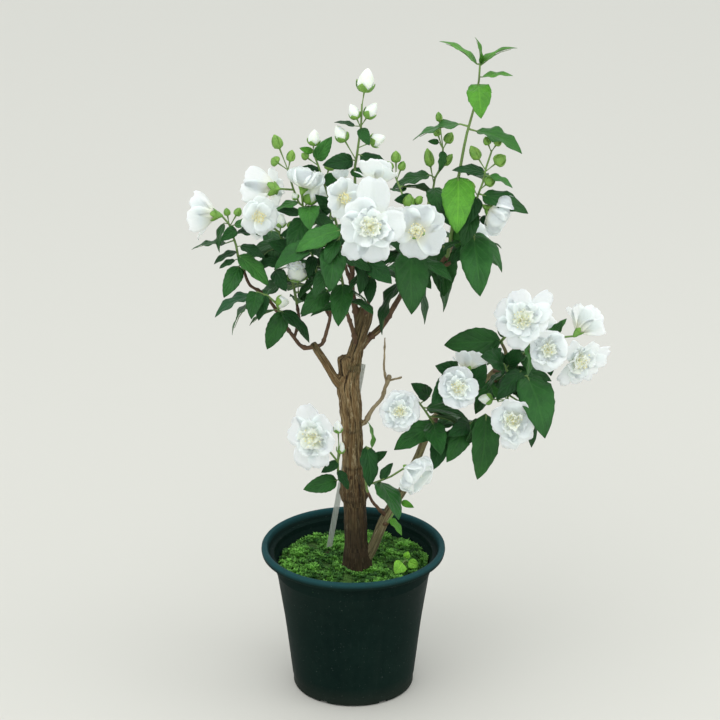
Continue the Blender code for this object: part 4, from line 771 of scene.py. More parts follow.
def whorls_of(origin, facing, radius, form, seed):
    """The whorls of a bloom, the outer one first. The inner one starts a little above it."""
    draw = random.Random(seed)
    whorls = []
    for level, (count, rise, share) in enumerate(WHORLS[form]):
        lobe = NARROW_LOBE if level or form == "double" else BROAD_LOBE
        lift = math.radians(rise + draw.uniform(-4, 4))
        length = radius * share / math.cos(math.radians(min(rise, 40)))
        curl = 0.10 if form == "cup" else -0.04
        belly = 0.0 if level else 0.55
        whorls.append(Whorl(origin + facing * level * 0.6 * MM, facing, draw.random(), count, lobe, length,
                            lift, curl, belly))
    return whorls

# %% Tests for touching
Piece = namedtuple("Piece", "node kind shape beads tree middle reach look", defaults=("",))

def beads_along(line, radii):
    """Balls along a tube, close enough together to stand for it."""
    beads = []
    for start, end, near, far in zip(line, line[1:], radii, radii[1:]):
        steps = max(1, math.ceil((end - start).length / (1.6 * MM)))
        for step in range(steps + 1):
            share = step / steps
            beads.append((start.lerp(end, share), near + (far - near) * share))
    return beads

def make_piece(node, kind, shape, beads=(), meshes=()):
    """A placed piece with what a test for touching needs: balls for a tube, or a tree for blades."""
    tree = None
    spots = [centre for centre, _ in beads]
    if meshes:
        points, faces = [], []
        for more, rings in meshes:
            faces += [tuple(index + len(points) for index in ring) for ring in rings]
            points += more
        tree = BVHTree.FromPolygons(points, faces)
        spots = points
    middle = sum(spots, Vector()) / len(spots)
    reach = max((spot - middle).length for spot in spots) + max((r for _, r in beads), default=0.0)
    return Piece(node, kind, shape, beads, tree, middle, reach)

def touches(one, other):
    """Whether two pieces touch. Round ones must also keep a small gap."""
    gap = 0.4 * MM
    if (one.middle - other.middle).length > one.reach + other.reach + gap:
        return False
    if one.tree and other.tree:
        return bool(one.tree.overlap(other.tree))
    if one.tree or other.tree:
        tree, beads = (one.tree, other.beads) if one.tree else (other.tree, one.beads)
        return any(tree.find_nearest(centre, radius + gap)[0] for centre, radius in beads)
    return any((a - b).length < r + s + gap for a, r in one.beads for b, s in other.beads)

def clear_of(piece, others):
    return not any(touches(piece, other) for other in others)

def tube(node, kind, line, radii):
    return make_piece(node, kind, (line, radii), beads=beads_along(line, radii))

# %% [markdown]
# ### Placing each kind of piece
# A bloom slides along the line of sight, a stalk bows aside and a leaf leans or rolls until it is clear.

# %% Blooms and their stalks
PEDICEL_RADIUS = 1.0 * MM
CALYX_RADIUS = 2.4 * MM

def place_bloom(values, placed, seed):
    """A bloom at its pixel. It slides along the line of sight until it is clear of what is placed."""
    name, across, down, depth, radius_pixels, shares, form = values[:7]
    facing = in_view(shares)
    steps = sorted(range(-16, 17), key=lambda step: (abs(step), step))
    for step in steps:
        middle = seen(across, down, depth + 3 * step)
        radius = radius_pixels * pixel_size(middle)
        origin = middle - facing * radius * (0.45 if form == "cup" else 0.22)
        whorls = whorls_of(origin, facing, radius, form, seed)
        meshes = [whorl_mesh(whorl, 0.5 * MM) for whorl in whorls]
        piece = make_piece("bloom_" + name, "bloom", (origin, facing, whorls), meshes=meshes)
        if clear_of(piece, placed):
            break
    else:
        print("bloom", name, "touches a neighbour")
    return piece

def place_stalk(node, line, origin, facing, foot, placed):
    """The stalk from a leafy stem to a bloom, bowed aside until it is clear. It widens to the calyx."""
    start = nearest_on(line, *foot)
    top = origin - facing * (PETAL_KEEL + GAP)
    low = top - facing * 5 * MM
    side = facing.orthogonal().normalized()
    start -= (low - start).normalized() * SINK
    for bow in (0, 5, 9, 14):
        for turn in range(8 if bow else 1):
            aside = Matrix.Rotation(math.tau * turn / 8, 3, facing) @ side * bow * MM
            bend = start.lerp(low, 0.6) + aside - facing * bow * MM * 0.4
            path = [start, bend, low] if bow else [start, low]
            radii = [PEDICEL_RADIUS] * len(path)
            shape = (path + [top], radii + [CALYX_RADIUS])
            piece = make_piece(node, "stalk", shape, beads=beads_along(path, radii))
            if clear_of(piece, placed):
                return piece
    print("stalk to", node, "touches a neighbour")
    return piece

# %% Leaves that the picture shows
LEAF_ASPECT = 2.05
LEAF_ARCH = 0.07
MOST_LEAF_LEAN = math.radians(62)
MOST_LEAF_ROLL = math.radians(74)
LEAF_ROWS = ((0.0, 0.10), (0.36, 1.0), (0.72, 0.62), (1.0, 0.0))
SMALL_LEAF_ROWS = ((0.0, 0.14), (0.42, 1.0), (1.0, 0.0))
SMALL_LEAF_WIDTH = 14 * MM

def leaf_pose(line, values, lean_more, roll_more, shift):
    """A leaf whose base, tip and width show as the photograph has them.

    A leaf shorter in the picture than its width allows leans toward the camera, and a narrow one is
    rolled so that its upper face turns to the sky.
    """
    across, down, tip_across, tip_down, width = values
    root = nearest_on(line, across, down)
    scale = pixel_size(root)
    root_across, root_down = picture(root)
    base = root + (RIGHT * (across - root_across) - UP * (down - root_down)) * scale + TOWARD * shift
    if (base - root).length < 2.5 * MM:
        base = root
    flat = (RIGHT * (tip_across - across) - UP * (tip_down - down)) * scale
    shown, width = flat.length, width * scale
    flat.normalize()
    length = max(shown, LEAF_ASPECT * width)
    lean = math.acos(min(shown / length, 1.0))
    broad = max(width, shown / LEAF_ASPECT)
    roll = math.acos(width / broad)
    lean = max(min(lean, MOST_LEAF_LEAN) + lean_more, -MOST_LEAF_LEAN)
    roll = min(roll, MOST_LEAF_ROLL) + roll_more
    length = min(shown / math.cos(lean), 1.25 * length)
    upper = TOWARD.cross(flat)
    outward = flat.x if abs(flat.x) > 0.3 else across - TRUNK_PIXEL
    if upper.z < -0.25 or (abs(upper.z) <= 0.25 and upper.x * outward < 0):
        upper = -upper
    axis = flat * math.cos(lean) + TOWARD * math.sin(lean)
    face = (TOWARD * math.cos(lean) - flat * math.sin(lean)) * math.cos(roll) + upper * math.sin(roll)
    rows = SMALL_LEAF_ROWS if broad < SMALL_LEAF_WIDTH else LEAF_ROWS
    return Blade(root, base, axis, face.normalized(), length, broad / 2, rows, LEAF_ARCH)

LEANS = (0.0, 0.2, -0.2, 0.4, -0.4, 0.65, -0.65, 0.9, -0.9)
ROLLS = (0.0, 0.3, -0.3, 0.6, -0.6, 0.9)
SHIFTS = (0.0, 3 * MM, -3 * MM, 7 * MM, -7 * MM, 12 * MM)
NUDGES = sorted(product(LEANS, ROLLS, SHIFTS),
                key=lambda t: abs(t[0]) * 5 + abs(t[1]) * 2 + abs(t[2]) / MM * 0.18)

def fit_leaf(node, pose, placed):
    """The first pose of a leaf that is clear of every other node and, where it can be, of its own.

    The poses are tried with small changes of lean, roll and distance from the stem, the smallest first.
    """
    fallback = None
    for nudge in NUDGES:
        blade = pose(*nudge)
        piece = make_piece(node, "leaf", blade, meshes=[blade_mesh(blade, 0.5 * MM)])
        near = [other for other in placed if touches(piece, other)]
        if any(other.node != node for other in near):
            continue
        if all(other.kind == "stem" for other in near):
            return piece
        fallback = fallback or piece
    return fallback

def place_leaf(node, line, values, placed):
    """A leaf by its pixels, made smaller where no pose of the full size is clear."""
    across, down, tip_across, tip_down, width, tone = values
    for share in (1.0, 0.85, 0.7, 0.5):
        smaller = (across, down, across + (tip_across - across) * share,
                   down + (tip_down - down) * share, width * share)
        piece = fit_leaf(node, lambda *nudge: leaf_pose(line, smaller, *nudge), placed)
        if piece:
            return [piece._replace(look=tone)]
    print("no room for a leaf of", node, "at", values)
    return []

# %% Leaves on the far side
BACK_LEAF = (44 * MM, 21 * MM)
BACK_BLOOM_RADIUS = 21

def back_leaf_pose(root, out, length, lean_more, roll_more, shift):
    """A leaf on the far side, which grows outward and hangs a little."""
    base = root + out * (3 * MM + abs(shift))
    droop = -0.35 + lean_more
    axis = Vector((out.x, out.y, droop)).normalized()
    side = axis.cross(Vector((0, 0, 1))).normalized()
    face = Matrix.Rotation(roll_more, 3, axis) @ side.cross(axis)
    broad = BACK_LEAF[1] * length / BACK_LEAF[0]
    return Blade(root, base, axis, face, length, broad / 2, SMALL_LEAF_ROWS, LEAF_ARCH)

def place_back_leaves(node, line, placed, draw):
    """Opposite pairs of leaves up a stem, each pair turned from the one below."""
    leaves = []
    for level, (start, end, share) in enumerate(((1, 2, 0.9), (2, 3, 0.6), (3, 4, 0.3))):
        root = line[start].lerp(line[end], share)
        for half in (0, 1):
            angle = level * math.pi / 2 + half * math.pi + draw.uniform(-0.3, 0.3) + 0.5
            out = Vector((math.cos(angle), math.sin(angle), 0))
            length = BACK_LEAF[0] * draw.uniform(0.85, 1.1)
            for share_left in (1.0, 0.75, 0.5):
                piece = fit_leaf(node, lambda *nudge: back_leaf_pose(root, out, length * share_left, *nudge),
                                 placed + leaves)
                if piece:
                    leaves.append(piece)
                    break
    return leaves

def back_bloom(name, points):
    """A bloom past the end of a stem on the far side. It faces on along the stem and back."""
    across, down, depth = points[-1]
    before = points[-2]
    facing = (0.5 * (across - before[0]) / 20, 0.35, -0.9)
    return (name, across + 10 * facing[0], down - 8, depth + 24, BACK_BLOOM_RADIUS, facing, "double",
            across, down)

# %% Stems and buds
SMALL_BUD_RADIUS = 4.3 * MM

def stem_lines(name, values):
    """The line of a leafy stem with its radii, and those of its side stems."""
    start, radius = shoot_start(name)
    line = start + [seen(*point) for point in values["line"]]
    lines = [(line, tapered(line, radius, SHOOT_TIP_RADIUS))]
    for side in values.get("sides", ()):
        points = [seen(*point) for point in side]
        foot = nearest_on(line[1:], *picture(points[0]))
        points.insert(0, foot - (points[0] - foot).normalized() * SINK)
        lines.append((points, tapered(points, 1.2 * MM, SHOOT_TIP_RADIUS)))
    return lines

def nearest_line(lines, across, down):
    """Of a stem and its side stems, the line that passes nearest to a pixel, clear of where it starts."""
    def miss(line):
        spot = picture(nearest_on(line, across, down))
        return math.hypot(spot[0] - across, spot[1] - down)
    return min((line[1:] if len(line) > 2 else line for line, _ in lines), key=miss)

def place_bud(node, line, values, placed):
    """A bud on its stalk. It slides along the line of sight until it is clear."""
    across, down, width, height, foot_across, foot_down, kind = values
    start = nearest_on(line, foot_across, foot_down)
    for step in sorted(range(-8, 9), key=abs):
        middle = seen(across, down, start.y / MM + 2.5 * step)
        way = (middle - start).normalized() * height * pixel_size(middle)
        broad = width * pixel_size(middle) / 2
        line = [start - way.normalized() * SINK] + [middle + way * share for share in (-0.5, 0.0, 0.5)]
        radii = [STALK_RADIUS, STALK_RADIUS, broad, broad * 0.2]
        if broad < SMALL_BUD_RADIUS:
            del line[1], radii[1]
        bud = tube(node, "bud", line, radii)
        if clear_of(bud, [other for other in placed if other.node != node]):
            break
    else:
        print("bud of", node, "at", across, down, "touches a neighbour")
    return bud._replace(look=kind)

# %% The whole layout
ALL_SHOOTS = {**SHOOTS, **{name: dict(line=line) for name, (line, _) in BACK_SHOOTS.items()}}

def plan():
    """Every piece of wood, stem, bloom, bud and leaf, placed so that no node touches another."""
    placed = [tube("wood", "limb", *limb_line(name)) for name in LIMBS]
    lines = {name: stem_lines(name, values) for name, values in ALL_SHOOTS.items()}
    for name, entries in lines.items():
        placed += [tube("stem_" + name, "stem", *entry) for entry in entries]
    blooms = [(name, bloom) for name, values in SHOOTS.items() for bloom in values.get("blooms", ())]
    blooms += [(name, back_bloom(name, points)) for name, (points, ends_in_bloom) in BACK_SHOOTS.items()
               if ends_in_bloom]
    stalks = []
    for seed, (name, values) in enumerate(blooms):
        bloom = place_bloom(values, placed, seed)
        placed.append(bloom)
        stalks.append((name, bloom, values[7:]))
    for name, bloom, foot in stalks:
        node = "stem_" + name
        others = [piece for piece in placed if piece.node != node]
        placed.append(place_stalk(node, nearest_line(lines[name], *foot), *bloom.shape[:2], foot, others))
    for name, values in SHOOTS.items():
        for bud in values.get("buds", ()):
            placed.append(place_bud("stem_" + name, nearest_line(lines[name], *bud[4:6]), bud, placed))
    for name, values in SHOOTS.items():
        for leaf in values["leaves"]:
            placed += place_leaf("stem_" + name, nearest_line(lines[name], *leaf[:2]), leaf, placed)
    for seed, name in enumerate(BACK_SHOOTS):
        placed += place_back_leaves("stem_" + name, lines[name][0][0], placed, random.Random(seed))
    return placed

placed = plan()
print("placed:", Counter(piece.kind for piece in placed))

# %% [markdown]
# ## The wood
# The trunk is a cut-back shrub stem, thick and rough, and its bark runs in fibres up the stem, lifts in
# flakes and gathers in rings where old shoots were. The thick limbs are drawn as tubes, melted into one
# skin by a remesh so that no joint shows, and then roughened along their grain. Thin twigs stay as tubes,
# because a remesh that is fine enough for them would make the trunk far too heavy.

# %% Tubes along lines
def curve_tubes(name, tubes, sides=4):
    """One mesh of round tubes. Each is a line of points and a radius for each point."""
    data = bpy.data.curves.new(name, "CURVE")
    data.dimensions = "3D"
    data.bevel_depth = 1.0
    data.bevel_resolution = sides // 2 - 2 if sides > 4 else 0
    data.use_fill_caps = True
    for line, radii in tubes:
        spline = data.splines.new("POLY")
        spline.points.add(len(line) - 1)
        for point, place, radius in zip(spline.points, line, radii):
            point.co = (*place, 1)
            point.radius = radius
    made = bpy.data.objects.new(name, data)
    bpy.context.scene.collection.objects.link(made)
    only(made)
    bpy.ops.object.convert(target="MESH")
    made.data.shade_smooth()
    return made

def rounded(line, radii, step):
    """A smooth curve through the points of a line, as closer points with their radii."""
    points, sizes = [], []
    for index in range(len(line) - 1):
        before, start, end, after = (line[min(max(index + n, 0), len(line) - 1)] for n in (-1, 0, 1, 2))
        pieces = max(1, round((end - start).length / step))
        for piece in range(pieces):
            t = piece / pieces
            bend = (2 * start + (end - before) * t + (2 * before - 5 * start + 4 * end - after) * t * t
                    + (3 * start - before - 3 * end + after) * t ** 3) / 2
            points.append(bend)
            sizes.append(radii[index] + (radii[index + 1] - radii[index]) * t * t * (3 - 2 * t))
    return points + [line[-1]], sizes + [radii[-1]]

# %% The thick limbs in one skin
THICK = ("trunk", "knob", "left_branch", "second_stem")
VOXEL = 0.75 * MM
STUMP = ((351, 384, 0, 14), (345.5, 370, -3, 14.5), (344, 357, -4, 13.5))
limbs = {name: limb_line(name) for name in LIMBS}

def thick_line(name, points=None):
    """The rounded line of a limb, or of its first points."""
    line, radii = limbs[name]
    return rounded(line[:points], radii[:points], 4 * MM)

def one_skin(name, lines):
    """Tubes melted into one skin."""
    skin = curve_tubes(name, lines, 16)
    apply_modifier(skin, "REMESH", mode="VOXEL", voxel_size=VOXEL)
    apply_modifier(skin, "SMOOTH", factor=0.6, iterations=6)
    print(name, len(skin.data.polygons), "faces")
    return skin

trunk_lines = [thick_line("trunk"), thick_line("left_branch"), thick_line("spike", 4),
               thick_line("right_limb", 3), thick_line("dead_twig", 3), points_and_radii(STUMP)]
side_lines = [thick_line("second_stem")]
trunk, side_stem = one_skin("trunk", trunk_lines), one_skin("side_stem", side_lines)

# %% [markdown]
# ### Bark that follows the grain
# Each point of the skin finds the nearest limb. How far along it lies, and where round it, make a
# coordinate in which fibres are straight, however the limb bends. The same coordinate is stored for the
# material, so that fine fibres lie along the coarse ones.

# %% The nearest limb of every point
def grain_of(skin, lines):
    """For each point of a skin: where it lies round and along its limb, and the limb's radius there."""
    points = np.array([vertex.co for vertex in skin.data.vertices])
    nearest = np.full(len(points), np.inf)
    grain, girth = np.zeros((len(points), 3)), np.zeros(len(points))
    passed = 0.0
    for line, radii in lines:
        for start, end, near, far in zip(line, line[1:], radii, radii[1:]):
            run = np.array(end - start)
            length = np.linalg.norm(run)
            run = run / length
            first = np.array(Vector(run).cross(Vector((0, 1, 0))).normalized())
            offset = points - np.array(start)
            share = np.clip(offset @ run, 0, length)
            away = offset - share[:, None] * run
            radius = near + (far - near) * share / length
            gap = np.linalg.norm(away, axis=1) / radius
            hit = gap < nearest
            nearest[hit] = gap[hit]
            turn = np.arctan2(away @ np.cross(run, first), away @ first)
            spot = np.stack((np.cos(turn) * radius, np.sin(turn) * radius, passed + share), axis=1)
            grain[hit], girth[hit] = spot[hit], radius[hit]
            passed += length
        passed += 0.1
    return grain, girth

# %% Ridges, flakes and rings
FOOT_HEIGHT = SOIL_EDGE + 3 * MM
RING_PIXELS = (370, 430, 466, 482, 497)
RING_HEIGHTS = [seen(353, down, -8).z for down in RING_PIXELS]
SWELL_HEIGHT = seen(353, 488, -8).z
THICK_RADIUS, FLARED_RADIUS = 9.5 * MM, 13 * MM

def ridge(place, size):
    """Sharp crests at this size in millimetres, long along the grain."""
    return 1 - 2.4 * abs(noise.noise(Vector((place[0], place[1], place[2] * 0.12)) / (size * MM)))

def roughen(skin, lines):
    """Raises ridges, flakes and rings on a skin, and stores its grain and where its rings are."""
    grain, girth = grain_of(skin, lines)
    normals = [vertex.normal.copy() for vertex in skin.data.vertices]
    marks = []
    for vertex, normal, place, radius in zip(skin.data.vertices, normals, grain, girth):
        rough = min(radius / (10 * MM), 1.0)
        around = Vector((place[0], place[1], 0))
        lump = noise.noise(vertex.co / (15 * MM)) * 1.3 + noise.noise(vertex.co / (5 * MM)) * 0.8
        flake = max(noise.noise(Vector((place[0], place[1], place[2] * 0.30)) / (3.4 * MM)) - 0.08, 0) * 2.6
        fibre = ridge(place, 2.6) * 0.55 + ridge(place + 0.1, 1.4) * 0.35
        mark = 0.0
        if radius > THICK_RADIUS:
            wave = 1.5 * MM * noise.noise(around / (6 * MM))
            for height in RING_HEIGHTS:
                off = (vertex.co.z + wave - height) / MM
                broken = 0.5 + 1.3 * noise.noise(Vector((place[0], place[1], height)) / (7 * MM))
                mark = max(mark, broken * math.exp(-(off / 1.6) ** 2))
                lump += 0.55 * math.exp(-((off - 3.2) / 2.6) ** 2)
        if abs(vertex.co.z - SWELL_HEIGHT) < 22 * MM and radius > THICK_RADIUS:
            near = math.exp(-((vertex.co.z - SWELL_HEIGHT) / (9 * MM)) ** 2)
            lump += near * (0.9 + 2.6 * noise.noise(vertex.co / (4.5 * MM)))
        rise = (lump + flake + fibre - 1.2) * 0.46 * rough - 0.35 * mark * rough
        if radius > FLARED_RADIUS:
            flare = math.exp(-max(vertex.co.z - FOOT_HEIGHT, 0) / (6 * MM))
            rise += flare * 1.6 * noise.noise(around / (8 * MM))
        vertex.co += normal * rise * MM
        marks.append(mark)
    skin.data.attributes.new("grain", "FLOAT_VECTOR", "POINT").data.foreach_set("vector", grain.ravel())
    skin.data.attributes.new("mark", "FLOAT", "POINT").data.foreach_set("value", marks)
    skin.data.shade_smooth()

roughen(trunk, trunk_lines)
roughen(side_stem, side_lines)

# %% Bark material
def bark_paint(name, furrow, body, pale, flaky, damp):
    """Fibrous bark: dark furrows, a body colour, pale worn fibres and flakes, darker where it is damp, and a
    deep green painted shade near the top, where the limbs go into the crown.
    """
    paint, tree, shader = new_material(name, Specular_IOR_Level=0.22)
    along = add_node(tree, "Attribute", attribute_name="grain")["Vector"]
    mark = add_node(tree, "Attribute", attribute_name="mark")["Fac"]
    place = add_node(tree, "TexCoord")["Object"]
    height = add_node(tree, "SeparateXYZ", {0: place})[2]
    fibres = streaks_at(tree, along, (1100, 1100, 45), 4.0, 0.65)
    strands = streaks_at(tree, along, (420, 420, 22), 4.0, 0.6)
    flakes = streaks_at(tree, along, (230, 230, 80), 5.0, 0.7)
    mottle = mottled(tree, place, 36.0, 1.3)
    damp_and_shade_height = plus(tree, height, times(tree, mottle, 0.025))
    colour = layered(
        tree, blend(tree, spread(tree, strands, 0.42, 0.56), furrow, body),
        (spread(tree, fibres, 0.47, 0.62, 0.0, 0.95), pale),
        (spread(tree, flakes, 0.58, 0.68, 0.0, 0.7), flaky),
        (spread(tree, mottle, 0.55, 1.0, 0.0, 0.40), (0.085, 0.088, 0.038)),
        (times(tree, mark, 0.55), (0.022, 0.016, 0.009)),
        (spread(tree, damp_and_shade_height, 0.185, 0.268, damp, 0.0), (0.020, 0.014, 0.007)),
        # painted shade: toward the top of the limbs, under the crown, the wood is darkened to a deep green
        (spread(tree, damp_and_shade_height, 0.345, 0.390, 0.0, 0.50), (0.038, 0.040, 0.020)))
    relief = plus(tree, strands, times(tree, fibres, 0.9))
    feed(tree, shader, colour, spread(tree, mottle, 0, 1, 0.75, 0.95), relief, 1.0 * MM, 0.9)
    return paint

trunk_bark = bark_paint("fibrous_bark", (0.016, 0.009, 0.004), (0.150, 0.088, 0.036), (0.350, 0.255, 0.125),
                        (0.520, 0.430, 0.260), 0.86)
side_bark = bark_paint("olive_bark", (0.085, 0.070, 0.034), (0.250, 0.215, 0.105), (0.350, 0.300, 0.165),
                       (0.420, 0.360, 0.220), 0.30)
finished(trunk, "trunk", "bark", ["wood"], trunk_bark)
finished(side_stem, "side_stem", "bark", ["wood"], side_bark)

# %% [markdown]
# ### Twigs
# Young twigs are smooth and reddish brown, and swell a little at each joint, where a pair of buds sat. The
# dead twig is grey and dry. They start inside the limb that carries them.

# %% Twig tubes
DEAD = ("dead_twig", "bare_twig", "bare_side")

def jointed(line, radii, draw):
    """A twig with a swelling every few centimetres."""
    points, sizes = rounded(line, radii, 2.5 * MM)
    next_joint = draw.uniform(6, 14)
    run = 0.0
    for index in range(1, len(points)):
        run += (points[index] - points[index - 1]).length / MM
        if run > next_joint:
            sizes[index] *= 1.35
            next_joint = run + draw.uniform(16, 30)
    return points, sizes

draw = random.Random(3)
live = {name: jointed(*limbs[name], draw) for name in LIMBS if name not in THICK + DEAD}
twigs = curve_tubes("twigs", list(live.values()), 10)
dead = curve_tubes("dead_twigs", [jointed(*limbs[name], draw) for name in DEAD], 10)
for piece, size in ((twigs, 0.35), (dead, 0.55)):
    for vertex in piece.data.vertices:
        vertex.co += vertex.normal * noise.noise(vertex.co / (2.5 * MM)) * size * MM

# %% Twig materials
def twig_paint(name, deep, pale, skin):
    """Smooth young bark or dry wood, with a paler skin that wears off in lines."""
    paint, tree, shader = new_material(name, Specular_IOR_Level=0.35)
    place = add_node(tree, "TexCoord")["Object"]
    lines = streaks_at(tree, place, (900, 900, 120))
    colour = blend(tree, mottled(tree, place, 90.0), deep, pale)
    colour = blend(tree, spread(tree, lines, 0.55, 0.75, 0.0, 0.7), colour, skin)
    feed(tree, shader, colour, spread(tree, lines, 0.3, 0.7, 0.45, 0.75), lines, 0.25 * MM, 0.6)
    return paint

twig_bark = twig_paint("young_bark", (0.060, 0.030, 0.016), (0.135, 0.075, 0.038), (0.24, 0.17, 0.10))
dead_bark = twig_paint("dead_bark", (0.200, 0.150, 0.085), (0.400, 0.320, 0.190), (0.500, 0.420, 0.280))
finished(twigs, "twigs", "bark", ["wood"], twig_bark)
finished(dead, "dead_twigs", "bark", ["wood"], dead_bark)
print("twigs:", len(twigs.data.polygons) + len(dead.data.polygons), "faces")

# %% [markdown]
# ## The leaves
# A leaf of this shrub is egg shaped with a drawn-out tip, folded a little along its midrib, with the tissue
# puckered between the veins. One flat blade is modelled from a grid, row by row. Every leaf is a copy of it,
# bent in its own way, because two leaves of a real shrub are never alike.

# %% One blade from a grid
ACROSS, ALONG = 8, 14

def shaped_grid(across, along, widths):
    """A grid one unit long whose rows are scaled to these widths, from its foot to its tip."""
    bpy.ops.mesh.primitive_grid_add(x_subdivisions=across, y_subdivisions=along, size=1, location=(0, 0.5, 0))
    grid = bpy.context.object
    bpy.ops.object.transform_apply(location=True)
    bpy.ops.object.mode_set(mode="EDIT")
    bpy.ops.mesh.select_mode(type="VERT")
    form = bmesh.from_edit_mesh(grid.data)
    for row, width in enumerate(widths):
        for vert in form.verts:
            vert.select = abs(vert.co.y - row / along) < 0.1 / along
        form.select_flush_mode()
        bpy.ops.transform.resize(value=(2 * width, 1, 1), center_override=(0, row / along, 0))
    bpy.ops.object.mode_set(mode="OBJECT")
    return grid

Template = namedtuple("Template", "points faces uv")

def template_of(piece):
    """What is copied of a modelled shape: its points, faces and UVs. The shape itself is removed."""
    mesh = piece.data
    points = np.array([vertex.co for vertex in mesh.vertices])
    faces = [tuple(face.vertices) for face in mesh.polygons]
    uv = np.array([loop.uv for loop in mesh.uv_layers[0].data])
    bpy.data.objects.remove(piece)
    return Template(points, faces, uv)

def leaf_width(share):
    """Half the width of a blade at this share of its length, 1 where it is widest."""
    tooth = 1 + 0.025 * math.cos(math.pi * ALONG * share)
    return max(2.38 * share ** 0.5 * (1 - share) ** 0.8 * tooth, 0.015)

LEAF = template_of(shaped_grid(ACROSS, ALONG, [leaf_width(row / ALONG) for row in range(ALONG + 1)]))
print("leaf template:", len(LEAF.faces), "faces, half width", round(LEAF.points[:, 0].max(), 2))

# %% Many copies in one mesh
def joined(name, template, shapes, tones=None):
    """One mesh with a copy of the template for each set of points, and a tone for each copy."""
    count = len(template.points)
    faces = [tuple(corner + count * index for corner in face)
             for index in range(len(shapes)) for face in template.faces]
    mesh = bpy.data.meshes.new(name)
    mesh.from_pydata(np.concatenate(shapes).tolist(), [], faces)
    layer = mesh.uv_layers.new(name="UVMap")
    layer.data.foreach_set("uv", np.tile(template.uv, (len(shapes), 1)).ravel())
    if tones is not None:
        tint = mesh.color_attributes.new("tone", "FLOAT_COLOR", "POINT")
        tint.data.foreach_set("color", np.repeat(np.array(tones), count, axis=0).ravel())
    mesh.shade_smooth()
    made = bpy.data.objects.new(name, mesh)
    bpy.context.scene.collection.objects.link(made)
    return made

# %% Bend one copy into a leaf
def leaf_copy(blade, draw):
    """The points of one leaf, and the line of its midrib from the stem on, sunk under its upper side."""
    across, along = LEAF.points[:, 0], LEAF.points[:, 1]
    length, half = blade.length, blade.half_width
    fold = draw.uniform(0.06, 0.30)
    droop = draw.uniform(0.02, 0.12)
    hook = draw.uniform(-0.06, 0.06)
    twist = draw.uniform(-0.35, 0.35)
    waves, phase, swing = draw.uniform(1.6, 2.8), draw.uniform(0, math.tau), draw.uniform(0.02, 0.055)
    side = blade.axis.cross(blade.face)

    def spine(share, aside=0.0, above=0.0):
        """A point of the bent midrib, or of what lies beside and above it."""
        lift = blade.arch * 4 * share * (1 - share) - droop * share ** 3
        return (np.array(blade.base) + np.outer(share * length, blade.axis)
                + np.outer(hook * share ** 2 * length + aside, side)
                + np.outer(lift * length + above, blade.face))

    edge = np.abs(across)
    wave = swing * np.sin(math.tau * waves * along + phase + np.sign(across)) * edge ** 2
    height = fold * edge * half * (1 - 0.35 * edge) + wave * length
    turn = twist * along
    points = spine(along, across * half * np.cos(turn) - height * np.sin(turn),
                   across * half * np.sin(turn) + height * np.cos(turn))
    below = -0.5 * MM - half * 0.05
    rib = [Vector(spine(share, 0.0, below)[0]) for share in (0.15, 0.35, 0.6, 0.85)]
    return points, [blade.root, blade.base] + rib

# %% [markdown]
# ### Leaf green
# The upper side is a soft gloss over deep green, paler along the veins and never quite even. The lower side
# is greyer, matt and paler, with the veins standing out. Young leaves at the tips are yellow green.

# %% Leaf materials
# l and d are partly each leaf's own green and partly painted light and shade: light for leaves lit at the top
# of the crown, deep for those shaded below and inside it
TONES = {"m": (0.021, 0.104, 0.020), "l": (0.042, 0.168, 0.030), "d": (0.012, 0.067, 0.015),
         "b": (0.015, 0.080, 0.026), "y": (0.082, 0.280, 0.028), "": (0.017, 0.089, 0.017)}

def leaf_paint(name, under):
    """The paint of a leaf's upper or lower side, tinted by the tone of each leaf."""
    paint, tree, shader = new_material(name, Specular_IOR_Level=0.20, Subsurface_Weight=0.06,
                                       Subsurface_Radius=(0.002, 0.004, 0.001))
    place = add_node(tree, "TexCoord")
    tone = add_node(tree, "VertexColor", layer_name="tone")["Color"]
    lines = use_group(tree, veins, {"UV": place["UV"], "Pairs": 5.0, "Slant": 0.42})
    mottle = mottled(tree, place["Object"], 70.0, 1.1)
    deep, light = (blend(tree, 1.0, tone, by, "MULTIPLY") for by in ((0.72, 0.74, 0.74), (1.22, 1.16, 1.10)))
    veined = blend(tree, 1.0, tone, (2.1, 1.65, 1.7) if under else (1.75, 1.45, 1.3), "MULTIPLY")
    colour = layered(
        tree, blend(tree, spread(tree, mottle, 0.15, 1.0), deep, light),
        (0.35 if under else 0.0, (0.130, 0.185, 0.110)),
        (times(tree, lines["Line"], 0.6 if under else 0.38), veined))
    gloss = spread(tree, mottle, 0, 1, *((0.62, 0.74) if under else (0.40, 0.55)))
    relief = plus(tree, times(tree, lines["Swell"], 0.6), times(tree, lines["Line"], 0.8 if under else -0.7))
    feed(tree, shader, colour, gloss, plus(tree, relief, times(tree, mottle, 0.35)), 0.5 * MM, 0.8)
    return paint

leaf_top = leaf_paint("leaf_upper_side", False)
leaf_below = leaf_paint("leaf_lower_side", True)

def two_sided(blades):
    """Gives blades their thickness. Their lower faces and edges take the paint of the lower side."""
    blades.data.materials.append(leaf_top)
    blades.data.materials.append(leaf_below)
    return thicken(blades, 0.28 * MM, -1, material_offset=1, material_offset_rim=1)

# %% [markdown]
# ### Shoots, stalks and buds
# Each stem of the CAD model becomes three or four pieces: its leaves, its stalks, and its buds in green and
# in white. A bud is an egg with a point. Closed buds show four green sepals that meet in grooves, and
# opening ones show white petals wrapped in a twist.

# %% A bud and a sepal to copy
bpy.ops.mesh.primitive_uv_sphere_add(segments=16, ring_count=10, radius=1, location=(0, 0, 0))
BUD = template_of(bpy.context.object)
SEPAL = template_of(shaped_grid(4, 6, (0.75, 0.95, 1.0, 0.86, 0.62, 0.33, 0.03)))
SEPAL_BREADTH = 0.34

